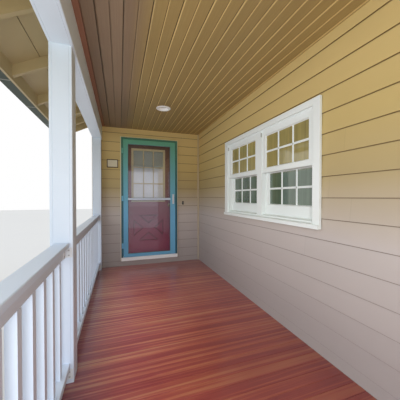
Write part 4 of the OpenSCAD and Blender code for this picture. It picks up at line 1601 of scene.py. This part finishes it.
@dataclass
class Roof(Part):
    """Rafters, roof boards, shingles, fascia, rakes and gutter.

    Attributes:
        slope: Rise of the roof for each unit of run.
        board: Width of a roof board along the slope.
        thick: Thickness of a roof board.
        gap: Gap on either side of the line between two roof boards.
        ease: How much a roof board's lower edges are eased.
        show: Length of each shingle course that shows.
        cover: How far a course reaches under the next one.
        tab: Width of a shingle's tab.
        least: Width under which a tab at a rake is left out.
        slot: Width of the slot between two tabs.
        jog: How far up the slope a tab may lie from its course's line.
        lift: Height of a tab's lower edge over the slope, and how much less it may be.
        bed: Thickness of the slab under the tabs.
        strap: Width of a gutter strap.
        sheet: Thickness of a gutter strap.
        floor: Width of the gutter's flat bottom.
        rise: Foot of the strap's curve and what it climbs, as shares of the gutter's height.
        swing: Share of the half wave that the strap's curve follows.
        spots: Number of points on that curve.
        sunk: How far the strap's outside may lie under the gutter's bottom.
        rafters: Places of the rafters' far faces, away from the door wall.
        rafter: Width of a rafter.
        seed: Seed of the tabs' random tints and shifts.
        steps: Unit steps up the slope and out of it, as rows of x and z.
    """

    coats = {
        Finish.EAVE_PAINT: ("rafters", "rafter_blocks", "eave_fascia", "rake_boards"),
        Finish.GUTTER_METAL: ("gutter",),
    }
    slope: float = 0.5
    board: float = 0.277
    thick: float = 0.016
    gap: float = 0.0015
    ease: float = 0.003
    show: float = 0.140
    cover: float = 0.02
    tab: float = 0.305
    least: float = 0.02
    slot: float = 0.007
    jog: float = 0.004
    lift: tuple[float, float] = (0.0078, 0.0006)
    bed: float = 0.0028
    strap: float = 0.011
    sheet: float = 0.0014
    floor: float = 0.092
    rise: tuple[float, float] = (0.3, 0.54)
    swing: float = 0.8
    spots: int = 12
    sunk: float = 0.0008
    rafters: tuple[float, ...] = (0.0, 0.425, 1.095, 1.765, 2.435, 3.105, 3.775, 4.445)
    rafter: float = 0.038
    seed: int = 23
    steps: np.ndarray = field(init=False)

    def __post_init__(self) -> None:
        """Works out the steps from the slope's angle: its cosine and sine, and the same turned."""
        angle = math.atan(self.slope)
        up = [math.cos(angle), math.sin(angle)]
        self.steps = np.array([up, [-up[1], up[0]]])

    def build(self, make: Maker) -> None:
        """Makes the roof boards, the shingle tabs and the gutter's straps.

        Args:
            make: Maker of the pieces.
        """
        self.roof_boards(make)
        self.shingles(make)
        self.straps(make)

    def sloped(self, cross: Rows, low: np.ndarray, high: np.ndarray) -> Shape:
        """Carries an outline that is drawn up the slope along y, between a box's sides.

        The point (s, h) lies s steps up the slope and h steps out of it from the box's low edge.

        Args:
            cross: Rows of s, h: up the slope from the box's lowest edge, and out of the slope.
            low: The box's lowest corner.
            high: Its highest corner.

        Returns:
            The closed shape, clipped to the box along x.
        """
        outline = low[[0, 2]] + np.asarray(cross) @ self.steps
        outline[:, 0] = np.clip(outline[:, 0], low[0], high[0])
        return prism(outline, Axis.Y, low[1], high[1])

    def roof_boards(self, make: Maker) -> None:
        """Lays boards up the slope, each an oblong across it with its lower edges eased.

        Args:
            make: Maker of the piece.
        """
        low, high = WALK.box("roof_boards")
        run = (high[0] - low[0]) / self.steps[0, 0]
        rng = np.random.default_rng(self.seed)
        e, t = self.ease, self.thick
        shapes = []
        for a in np.arange(0, run, self.board) + self.gap:
            b = min(a + self.board, run) - 2 * self.gap
            cross = [[a + e, 0], [b - e, 0], [b, e], [b, t], [a, t], [a, e]]
            shapes.append(self.sloped(cross, low, high))
            shapes[-1].tint[:] = rng.random()
        boards = total(shapes)
        make.piece("sheathing_boards", boards, Finish.EAVE_PAINT, ["roof_boards"])

    def shingles(self, make: Maker) -> None:
        """Lays courses of tabs up the slope on a thin slab, each half a tab on from the last.

        Args:
            make: Maker of the piece.
        """
        low, high = WALK.box("roof_shingles")
        run = (high[0] - low[0]) / self.steps[0, 0]
        rng = np.random.default_rng(self.seed)
        shapes = [self.sloped([[0, 0], [run, 0], [run, self.bed], [0, self.bed]], low, high)]
        for course in range(math.ceil(run / self.show)):
            start = course * self.show
            first = low[1] - (course % 2) * self.tab / 2
            places = np.arange(first, high[1], self.tab)
            sides = np.stack([places + self.slot / 2, places + self.tab - self.slot / 2], 1)
            sides = np.clip(sides, low[1], high[1])
            sides = sides[sides[:, 1] - sides[:, 0] > self.least]
            jog = rng.random(len(sides)) * self.jog
            top = np.full(len(sides), min(start + self.show + self.cover, run))
            ends = np.stack([start + jog, top], 1)
            lift = self.lift[0] - rng.random(len(sides)) * self.lift[1]
            shapes.append(self.tabs(low, ends, sides, lift, rng.random(len(sides))))
        whole = total(shapes)
        whole.points[:, 0] = np.clip(whole.points[:, 0], low[0], high[0])
        make.piece("shingle_tabs", whole, Finish.SHINGLES, ["roof_shingles"])

    def tabs(
        self,
        low: np.ndarray,
        ends: np.ndarray,
        sides: np.ndarray,
        lift: np.ndarray,
        tints: np.ndarray,
    ) -> Shape:
        """One course of tabs, all at once: eight corners each, from arrays of their edges.

        A tab is a thin wedge: thick at its lower edge, thin where the next course covers it.

        Args:
            low: Lowest corner of the shingles' box.
            ends: Lower and upper end of each tab up the slope.
            sides: Near and far edge of each tab.
            lift: Height of each tab's lower edge over the slope.
            tints: Random number of each tab.

        Returns:
            The tabs as one shape.
        """
        count = len(sides)
        run = ends[:, [0, 1, 1, 0]]
        thin, back = np.full(count, self.bed + 0.1 * MM), np.full(count, self.bed / 2)
        rise = np.stack([back, back, thin, lift], 1)
        flat = low[[0, 2]] + np.stack([run, rise], -1) @ self.steps
        faces = [
            set_out(Axis.Y, np.broadcast_to(y[:, None], run.shape), flat[..., 0], flat[..., 1])
            for y in sides.T
        ]
        points = np.concatenate(faces, 1).reshape(-1, 3)
        box = [[0, 1, 5, 4], [1, 2, 6, 5], [2, 3, 7, 6], [3, 0, 4, 7], [3, 2, 1, 0], [4, 5, 6, 7]]
        corners = 2 * run.shape[1]
        numbers = np.array(box)[None] + (np.arange(count) * corners)[:, None, None]
        return Shape(points, [numbers.reshape(-1, 4)], np.repeat(tints, corners))

    def straps(self, make: Maker) -> None:
        """Wraps a thin strap round the gutter under each rafter.

        The strap follows the gutter's outside: along its bottom, then up its front, which swings
        out along half a cosine wave. A second line outside the first gives its thickness.

        Args:
            make: Maker of the piece.
        """
        low, high = WALK.box("gutter")
        wide, tall = high[0] - low[0], high[2] - low[2]
        s = np.linspace(0, self.swing, self.spots)
        out = self.floor + (wide - self.floor) * (1 - np.cos(np.pi * s)) / 2
        up = tall * (self.rise[0] + self.rise[1] * s)
        line = np.vstack([[[MM, 0], [self.floor, 0]], np.stack([out, up], 1)])
        slopes = np.gradient(line, axis=0)
        slopes /= np.linalg.norm(slopes, axis=1, keepdims=True)
        outside = line + np.stack([slopes[:, 1], -slopes[:, 0]], 1) * self.sheet
        edge = np.vstack([line, outside[::-1]])
        edge = np.stack([high[0] - edge[:, 0], low[2] + np.maximum(edge[:, 1], -self.sunk)], 1)
        strap = prism(edge, Axis.Y, 0, self.strap)
        places = -np.array(self.rafters) - (self.rafter + self.strap) / 2
        straps = strap.copies(at_places(places))
        make.piece("gutter_straps", straps, Finish.STRAP_METAL)


@dataclass
class Walls(Part):
    """Siding, the strips at its corners, and what hangs on it.

    Attributes:
        strip: Side of the strip in the inside corner.
        board: Width of the outside corner's boards.
        thick: Thickness of those boards.
        sunk: How far the inside strip reaches into the walls.
        start: How far from the house's corner line the near corner board starts.
        eases: How much the edges of the inside strip and of the corner boards are eased.
        bell: Place of the bell push, along x and z.
        bell_rim: Radius of the bell's plate, and how far it stands in the wall and out of it.
        bell_crown: How far the plate's crown stands out over its rim.
        bell_tall: Height of the plate over its width.
        blunt: Power on the plate's cosine, which makes its rim steep.
        push: Profile of the bell's button, as radii and places y.
        bell_spots: Points up the plate's dome, round the plate and round the button.
        plaque: The plaque's lowest and highest corner inside its frame, along x and z.
        tuck: How far the panel reaches under its frame.
        panel: Planes y of the panel's face and back.
        moulding: Profile of the frame, as distances out of the opening and places y.
    """

    coats = {
        Finish.SIDING: (
            "house_wall_near", "house_wall_corner", "house_wall_under_window",
            "house_wall_over_window", "end_wall_left", "end_wall_right", "end_wall_over_door",
            "gable_infill", "door_riser",
        ),
    }
    strip: float = 0.024
    board: float = 0.085
    thick: float = 0.018
    sunk: float = 0.004
    start: float = 0.0005
    eases: tuple[float, float] = (0.003, 0.002)
    bell: tuple[float, float] = (1.424, 1.10)
    bell_rim: tuple[float, float, float] = (0.0175, 0.007, 0.004)
    bell_crown: float = 0.009
    bell_tall: float = 2.0
    blunt: float = 0.6
    push: tuple[tuple[float, float], ...] = (
        (0, -0.010), (0.0075, -0.010), (0.0075, -0.0145), (0.006, -0.016), (0, -0.0168),
    )
    bell_spots: tuple[int, int, int] = (8, 32, 24)
    plaque: tuple[tuple[float, float], tuple[float, float]] = ((0.096, 1.730), (0.252, 1.846))
    tuck: float = 0.004
    panel: tuple[float, float] = (-0.006, 0.008)
    moulding: tuple[tuple[float, float], ...] = (
        (0, 0.008), (0.012, 0.008), (0.012, -0.010), (0.009, -0.013), (0.003, -0.011), (0, -0.008),
    )

    def build(self, make: Maker) -> None:
        """Makes the corner strips, which are upright bars, the doorbell and the plaque.

        Args:
            make: Maker of the pieces.
        """
        x, s, sunk = WALK.wall_x, self.strip, self.sunk
        strip_ease, board_ease = self.eases
        inside = bar((x - s, -s, 0), (x + sunk, sunk, WALK.ceiling), Axis.Z, strip_ease)
        make.piece("inside_corner_strip", inside, Finish.CORNER_TRIM)
        low, high = WALK.box("end_wall_left")
        west, east = low[0] - self.thick, low[0] + MM
        outer = bar((west, high[1] - self.board, 0), (east, high[1], high[2]), Axis.Z, board_ease)
        near = bar((west, self.start, 0), (east, self.board, high[2]), Axis.Z, board_ease)
        make.piece("outside_corner_boards", outer + near, Finish.CORNER_TRIM)
        self.doorbell(make)
        self.sign(make)

    def doorbell(self, make: Maker) -> None:
        """Makes an oval bell push: a domed plate with a round button in its middle.

        Over a quarter turn the plate's radius follows a power of the cosine, and its height the
        sine. Both profiles are turned round an axis through the wall, and the plate's is stretched.

        Args:
            make: Maker of the pieces.
        """
        (radius, inside, outside), (up, round_plate, round_push) = self.bell_rim, self.bell_spots
        a = np.linspace(0, np.pi / 2, up)
        out = -outside - self.bell_crown * np.sin(a)
        dish = np.stack([radius * np.cos(a) ** self.blunt, out], 1)
        plate = np.vstack([[[0, inside], [radius, inside]], dish])
        centre = (self.bell[0], 0.0, self.bell[1])
        oval = turned(plate, Axis.Y, centre, round_plate, self.bell_tall)
        make.piece("bell_plate", oval, Finish.BELL_BLACK, round_off=True)
        button = turned(self.push, Axis.Y, centre, round_push)
        make.piece("bell_push", button, Finish.BELL_BUTTON, round_off=True)

    def sign(self, make: Maker) -> None:
        """Makes a bare panel, which is a bar, in a moulded frame carried round it.

        Args:
            make: Maker of the pieces.
        """
        low, high = np.array(self.plaque)
        (x0, z0), (x1, z1), (face, back) = low - self.tuck, high + self.tuck, self.panel
        panel = bar((x0, face, z0), (x1, back, z1), Axis.X, MM / 2)
        make.piece("plaque_panel", panel, Finish.PLAQUE_PANEL)
        moulding = frame_round(self.moulding, Axis.Y, low, high)
        make.piece("plaque_frame", moulding, Finish.PLAQUE_FRAME)


@dataclass
class Window(Part):
    """The twin double-hung window's bars, glazing beads, locks and finishes.

    Attributes:
        mullion: Width of the mullion between the two units.
        bar: Width of a window bar.
        deep: Thickness of a window bar.
        columns: Panes across a sash.
        bead: Width of the bead round the glass.
        sunk: How far a bead reaches into the sash.
        glass: Thickness of the glass.
        ease: How much a bar's edges are eased.
        lock: Half the length of a lock's base, half its width, and its height.
        knuckle: Radius and height of the lock's dome.
        seat: Height of the dome's foot over the sash.
        spots: Number of points round the dome.
        lever: Reach of the lock's lever, and how far it lies to either side of the dome's middle.
        raised: Lower and upper face of the lever over the sash.
        cover: Lower and upper end of a jamb cover, as distances under the sash's top.
        covered: Outer and inner face of a jamb cover, as distances out of the sash's face.
    """

    coats = {
        Finish.WINDOW_PAINT: (
            "window_casing", "window_frame", "upper_sashes", "lower_sashes", "window_inside_trim",
        ),
        Finish.WINDOW_GLASS: ("window_glass",),
    }
    mullion: float = 0.093
    bar: float = 0.020
    deep: float = 0.016
    columns: int = 3
    bead: float = 0.009
    sunk: float = 0.0005
    glass: float = 0.006
    ease: float = 0.004
    lock: tuple[float, float, float] = (0.032, 0.011, 0.006)
    knuckle: tuple[float, float] = (0.011, 0.012)
    seat: float = 0.005
    spots: int = 20
    lever: tuple[float, float, float] = (0.036, 0.006, 0.004)
    raised: tuple[float, float] = (0.010, 0.016)
    cover: tuple[float, float] = (0.060, 0.014)
    covered: tuple[float, float] = (0.019, 0.010)

    def units(self, node: str) -> list[tuple[np.ndarray, np.ndarray]]:
        """Gives the lowest and highest corner of a pair of sashes, the near one first.

        Each is half of what the mullion leaves of the pair's box.

        Args:
            node: The CAD node that holds the pair.

        Returns:
            A pair of corners for each sash.
        """
        low, high = WALK.box(node)
        wide = (high[1] - low[1] - self.mullion) / 2
        near_high = np.array([high[0], low[1] + wide, high[2]])
        far_low = np.array([low[0], high[1] - wide, low[2]])
        return [(low, near_high), (far_low, high)]

    def panes(self) -> list[tuple[np.ndarray, np.ndarray]]:
        """Works out the four panes' corners from the boxes of the sashes and of the glass.

        The stiles are as wide as the sashes reach past the glass. The two sashes overlap at the
        meeting rails, so the upper sash's foot tops the lower panes, and the lower sash's head is
        the foot of the upper ones.

        Returns:
            A pair of corners for each pane, as deep as its sash.
        """
        low, high = WALK.box("window_glass")
        upper, lower = WALK.box("upper_sashes"), WALK.box("lower_sashes")
        stile = low[1] - upper[0][1]
        rows = {"lower_sashes": (low[2], upper[0][2]), "upper_sashes": (lower[1][2], high[2])}
        return [
            (np.array([a[0], a[1] + stile, z0]), np.array([b[0], b[1] - stile, z1]))
            for node, (z0, z1) in rows.items()
            for a, b in self.units(node)
        ]

    def build(self, make: Maker) -> None:
        """Makes the bars of each pane and a sloping bead round it, on both faces.

        The upright bars part the pane evenly, and one lies across its middle. A bead is a triangle
        carried round the pane.

        Args:
            make: Maker of the pieces.
        """
        bars, beads = [], []
        half, e = self.bar / 2, self.ease
        for low, high in self.panes():
            mid = (low[0] + high[0]) / 2
            x0, x1 = mid - self.deep / 2, mid + self.deep / 2
            for y in np.linspace(low[1], high[1], self.columns + 1)[1:-1]:
                bars.append(bar((x0, y - half, low[2]), (x1, y + half, high[2]), Axis.Z, e))
            z = (low[2] + high[2]) / 2
            bars.append(bar((x0, low[1], z - half), (x1, high[1], z + half), Axis.Y, e))
            for face, side in ((low[0] + MM, -1), (high[0] - MM, 1)):
                glass = mid + side * self.glass / 2
                profile = [[self.sunk, face], [-self.bead, glass], [self.sunk, glass]]
                beads.append(frame_round(profile, Axis.X, low[1:], high[1:]))
        make.piece("window_bars", total(bars), Finish.WINDOW_PAINT)
        make.piece("glazing_beads", total(beads), Finish.WINDOW_PAINT)
        self.hardware(make)

    def hardware(self, make: Maker) -> None:
        """Makes the sash locks inside and the small cover plates at the jambs' heads.

        A lock is a flat bar, a dome on it and a lever that reaches along the sash.

        Args:
            make: Maker of the pieces.
        """
        locks, covers = [], []
        (long, wide, tall), (reach, west, east), (foot, top) = self.lock, self.lever, self.raised
        for low, high in self.units("lower_sashes"):
            x, y, _ = (low + high) / 2
            z = high[2]
            base = (x - wide, y - long, z - MM), (x + wide, y + long, z + tall)
            lever = (x - west, y, z + foot), (x + east, y + reach, z + top)
            locks += [
                bar(*base, Axis.Y, 2 * MM),
                turned(dome(*self.knuckle), Axis.Z, (x, y, z + self.seat), self.spots),
                bar(*lever, Axis.Y, 2 * MM),
            ]
        make.piece("sash_locks", total(locks), Finish.HANDLE_METAL, round_off=True)
        (outer, inner), (deep, shallow) = self.covered, self.cover
        for low, high in self.units("upper_sashes"):
            x, y, z = low[0], high[1] + MM / 2, high[2]
            ends = (x - outer, y - 2 * MM, z - deep), (x - inner, y + 2 * MM, z - shallow)
            covers.append(bar(*ends, Axis.Z, MM / 2))
        make.piece("jamb_covers", total(covers), Finish.STRAP_METAL)


@dataclass
class Doorway(Part):
    """The door frame, its threshold and its trims.

    Attributes:
        ribs: First and last place of the threshold's ribs along y, and their spacing.
        wide: Width of a rib.
        tall: Height of a rib.
        inset: Distance from the ribs' ends to the threshold's.
    """

    coats = {
        Finish.CREAM_PAINT: ("door_casing",),
        Finish.FRAME_TEAL: ("door_frame",),
        Finish.STORM_TEAL: ("storm_hinge_pins",),
        Finish.THRESHOLD_METAL: ("door_sill",),
        Finish.WINDOW_PAINT: ("door_inside_trim",),
        Finish.HINGE_METAL: ("entry_hinge_pins",),
    }
    ribs: tuple[float, float, float] = (0.016, 0.096, 0.014)
    wide: float = 0.006
    tall: float = 0.0016
    inset: float = 0.032

    def build(self, make: Maker) -> None:
        """Makes the threshold's ribs: bars across it at even steps.

        Args:
            make: Maker of the piece.
        """
        low, high = WALK.box("door_sill")
        x0, x1, z = low[0] + self.inset, high[0] - self.inset, high[2]
        ribs = [
            bar((x0, y, z - MM), (x1, y + self.wide, z + self.tall), Axis.X)
            for y in np.arange(*self.ribs)
        ]
        make.piece("threshold_ribs", total(ribs), Finish.THRESHOLD_METAL)


@dataclass
class StormDoor(Part):
    """The storm door: its glass gaskets, its pale middle bar and its finishes.

    Attributes:
        bar: Lower and upper edge of the middle bar.
        gasket: Width of the gasket round the glass.
        top: Width of the gasket's outer face, as a share of that.
        lip: How far the gasket lies under the door's face.
        sunk: How far it reaches into the frame.
        cap: Thickness of the pale caps on the middle bar.
        root: How far a cap reaches into the bar.
    """

    body = "storm_door"
    coats = {
        Finish.STORM_TEAL: ("storm_door_frame", "storm_hinge_leaves"),
        Finish.STORM_GLASS: ("storm_door_glass",),
        Finish.HANDLE_METAL: ("storm_door_handle",),
    }
    bar: tuple[float, float] = (1.158, 1.190)
    gasket: float = 0.007
    top: float = 0.6
    lip: float = 0.004
    sunk: float = 0.0004
    cap: float = 0.0012
    root: float = 0.003

    def build(self, make: Maker) -> None:
        """Makes the gaskets on both faces of both panes, and the middle bar's pale caps.

        A gasket is a wedge carried round the pane. A cap is a thin bar over the middle bar's face.

        Args:
            make: Maker of the pieces.
        """
        low, high = WALK.box("storm_door_glass")
        faces = WALK.box("storm_door_frame")
        sides = ((faces[0][1], low[1], 1), (faces[1][1], high[1], -1))
        shapes = []
        for bottom, top in ((low[2], self.bar[0]), (self.bar[1], high[2])):
            for face, glass, inward in sides:
                lip, s, g = face + inward * self.lip, self.sunk, self.gasket
                profile = [[s, glass], [-g, glass], [-g * self.top, lip], [s, lip]]
                shapes.append(frame_round(profile, Axis.Y, (low[0], bottom), (high[0], top)))
        make.piece("storm_gaskets", total(shapes), Finish.GASKET)
        z0, z1 = self.bar[0] - MM, self.bar[1] + MM
        caps = []
        for face, _, inward in sides:
            y0, y1 = sorted((face - inward * self.cap, face + inward * self.root))
            caps.append(bar((low[0], y0, z0), (high[0], y1, z1), Axis.X))
        make.piece("storm_bar_caps", total(caps), Finish.BAR_PAINT)


@dataclass
class EntryDoor(Part):
    """The entry door's window bars, the mouldings of its crossed panel and its finishes.

    Attributes:
        bar: Width of a window bar.
        proud: How far a bar stands out from the glass.
        count: Panes across, and up.
        lap: How far the window's frame laps onto the slab.
        cross: Lower and upper edge of the crossed panel.
        arm: Width of the bars that cross in it.
        hollow: Depth of the hollows between them.
        inset: Distance from a hollow's edge to the raised field in it.
        sunk: How far a field lies under the door's face.
        moulding: Profile round a hollow, as distances out of it and depths under the door's face.
        ease: How much a window bar's edges are eased.
    """

    body = "inner_door"
    coats = {
        Finish.BURGUNDY_PAINT: ("entry_door",),
        Finish.CREAM_PAINT: ("entry_lite_frame",),
        Finish.LITE_GLASS: ("entry_lite_glass",),
        Finish.KNOB_BRASS: ("entry_knobs",),
        Finish.HINGE_METAL: ("entry_hinge_leaves",),
    }
    bar: float = 0.020
    proud: float = 0.010
    count: int = 3
    lap: float = 0.024
    cross: tuple[float, float] = (0.400, 0.889)
    arm: float = 0.103
    hollow: float = 0.008
    inset: float = 0.030
    sunk: float = 0.0005
    moulding: tuple[tuple[float, float], ...] = (
        (0.0005, 0.008), (0.0005, -0.0015), (-0.004, -0.004), (-0.009, -0.002), (-0.018, 0.008),
    )
    ease: float = 0.004

    def hollows(self) -> list[np.ndarray]:
        """Works out the four hollows between the crossed bars.

        A bar's edge runs beside the panel's diagonal, half the bar's width away. So it meets the
        panel's sides that distance over the diagonal's sine or cosine from the corner and from the
        middle, and each hollow is the triangle that two edges and one side leave.

        Returns:
            The three corners of each, counterclockwise as rows of x, z.
        """
        low, high = WALK.box("entry_lite_frame")
        left, right = low[0] + self.lap, high[0] - self.lap
        bottom, top = self.cross
        wide, tall = (right - left) / 2, (top - bottom) / 2
        reach = math.hypot(wide, tall)
        x, z = self.arm / 2 * reach / tall, self.arm / 2 * reach / wide
        mid = np.array([left + wide, bottom + tall])
        shapes = [
            [[wide - x, tall], [x - wide, tall], [0, z]],
            [[x - wide, -tall], [wide - x, -tall], [0, -z]],
            [[-wide, tall - z], [-wide, z - tall], [-x, 0]],
            [[wide, z - tall], [wide, tall - z], [x, 0]],
        ]
        return [mid + np.array(corners) for corners in shapes]

    def panel(self, make: Maker) -> None:
        """Lines each hollow with a moulding round a raised field, on both faces.

        The moulding is carried round the hollow. The field is its outline moved in and carried
        through the hollow's depth.

        Args:
            make: Maker of the piece.
        """
        low, high = WALK.box("entry_door")
        shapes = []
        for face, inward in ((low[1], 1), (high[1], -1)):
            profile = np.array(self.moulding)
            profile[:, 1] = face + inward * profile[:, 1]
            top, foot = sorted((face + inward * self.sunk, face + inward * self.hollow))
            for corners in self.hollows():
                shapes.append(ring(profile, Axis.Y, corners))
                edge = corners - mitres(corners) * self.inset
                shapes.append(prism(edge, Axis.Y, top, foot))
        make.piece("crossed_panel", total(shapes), Finish.BURGUNDY_PAINT)

    def build(self, make: Maker) -> None:
        """Makes the panel's mouldings, and the window's bars, which part its glass evenly.

        Args:
            make: Maker of the pieces.
        """
        self.panel(make)
        low, high = WALK.box("entry_lite_glass")
        y0, y1 = low[1] - self.proud, high[1] + self.proud
        half, e = self.bar / 2, self.ease
        bars = [
            bar((x - half, y0, low[2]), (x + half, y1, high[2]), Axis.Z, e)
            for x in np.linspace(low[0], high[0], self.count + 1)[1:-1]
        ]
        bars += [
            bar((low[0], y0, z - half), (high[0], y1, z + half), Axis.X, e)
            for z in np.linspace(low[2], high[2], self.count + 1)[1:-1]
        ]
        make.piece("door_window_bars", total(bars), Finish.CREAM_PAINT)


@dataclass(frozen=True)
class Lamp:
    """A soft oblong lamp.

    Attributes:
        name: Its name.
        place: Its place, in walk coordinates.
        aim: The point that it faces.
        size: Its width and height.
        power: Its power in watts.
    """

    name: str
    place: tuple[float, float, float]
    aim: tuple[float, float, float]
    size: tuple[float, float]
    power: float

    def hang(self) -> None:
        """Puts the lamp in the scene, unseen itself.

        Its turns are those of the way to its aim: up from straight down, and round the upright.
        """
        data = bpy.data.lights.new(self.name, "AREA")
        data.shape, data.size, data.size_y = "RECTANGLE", *self.size
        data.energy = self.power
        made = bpy.data.objects.new(self.name, data)
        made.location = WALK.at(self.place)
        way = np.subtract(self.aim, self.place)
        flat = math.hypot(way[0], way[1])
        made.rotation_euler = (math.atan2(flat, -way[2]), 0, math.atan2(-way[0], way[1]))
        made.visible_camera = made.visible_glossy = False
        bpy.context.scene.collection.objects.link(made)


@dataclass
class Studio:
    """Camera, floor, soft lamps and sky.

    Attributes:
        eye: The camera's place, in walk coordinates.
        turn: The camera's heading, in degrees from +Y.
        tip: How far the camera looks down, in degrees.
        lens: Its focal length in millimetres.
        sensor: Width of its frame in millimetres.
        nearest: Distance from which it sees.
        ground: Half the width of the studio's floor.
        light: Colour of the sky's light.
        ambient: Strength of the sky's light.
        lamps: The lamps.
    """

    eye: tuple[float, float, float] = (0.287, -4.3, 1.212)
    turn: float = -19.0
    tip: float = 0.75
    lens: float = 21.02
    sensor: float = 36.0
    nearest: float = 0.02
    ground: float = 30.0
    light: Colour = (0.96, 0.98, 1.0)
    ambient: float = 1.06
    lamps: tuple[Lamp, ...] = (
        Lamp("key_lamp", (-7.0, -8.0, 6.0), aim=(0.0, -2.5, 1.0), size=(4.0, 4.0), power=120.0),
        Lamp("side_fill", (0.1, -3.15, 1.25), aim=(1.0, -3.15, 1.25), size=(3.3, 1.9), power=10.5),
        Lamp("end_fill", (0.22, -4.85, 1.3), aim=(0.8, 0.0, 1.3), size=(0.4, 1.9), power=23.0),
    )

    def build(self) -> None:
        """Sets up everything that isn't part of the porch."""
        bpy.context.scene.view_settings.view_transform = "Standard"
        self.camera()
        self.floor()
        self.sky()
        for lamp in self.lamps:
            lamp.hang()

    def camera(self) -> None:
        """Puts the scene's camera at the photograph's viewing angle."""
        data = bpy.data.cameras.new("camera")
        data.lens, data.sensor_width, data.clip_start = self.lens, self.sensor, self.nearest
        made = bpy.data.objects.new("camera", data)
        made.location = WALK.at(self.eye)
        made.rotation_euler = (math.radians(90 - self.tip), 0, math.radians(self.turn))
        bpy.context.scene.collection.objects.link(made)
        bpy.context.scene.camera = made

    def floor(self) -> None:
        """Lays a wide pale floor under the porch: one square face."""
        mesh = bpy.data.meshes.new("studio_floor")
        corners = self.ground * np.array([[-1, -1, 0], [1, -1, 0], [1, 1, 0], [-1, 1, 0]])
        mesh.from_pydata(corners.tolist(), [], [[0, 1, 2, 3]])
        mesh.materials.append(Backdrop().make("studio_floor"))
        made = bpy.data.objects.new("studio_floor", mesh)
        bpy.context.scene.collection.objects.link(made)

    def sky(self) -> None:
        """Makes a pale sky: plain white as seen and mirrored, and its own strength as light."""
        world = bpy.data.worlds.new("sky")
        bpy.context.scene.world = world
        tree = Tree(world)
        camera = tree.node("ShaderNodeLightPath", {}, {}, "Is Camera Ray")
        mirrored = camera.beside("Is Glossy Ray").either(camera.beside("Is Transmission Ray"))
        light, plain = (
            tree.node("ShaderNodeBackground", {}, {"Color": colour, "Strength": strength})
            for colour, strength in ((self.light, self.ambient), ((1.0, 1.0, 1.0), 1.0))
        )
        values = {0: camera.either(mirrored), 1: light, 2: plain}
        blend = tree.node("ShaderNodeMixShader", {}, values)
        tree.end("ShaderNodeOutputWorld", blend)


def main() -> None:
    """Builds and dresses each sub-assembly in order, then the studio."""
    logging.basicConfig(level=logging.INFO, format="%(name)s: %(message)s")
    parts: tuple[Part, ...] = (
        Deck(), Frontage(), Railing(), Ceiling(), Roof(),
        Walls(), Window(), Doorway(), StormDoor(), EntryDoor(),
    )
    for part in parts:
        part.build(Maker(part.body))
        part.dress()
    Studio().build()


if __name__ == "__main__":
    main()
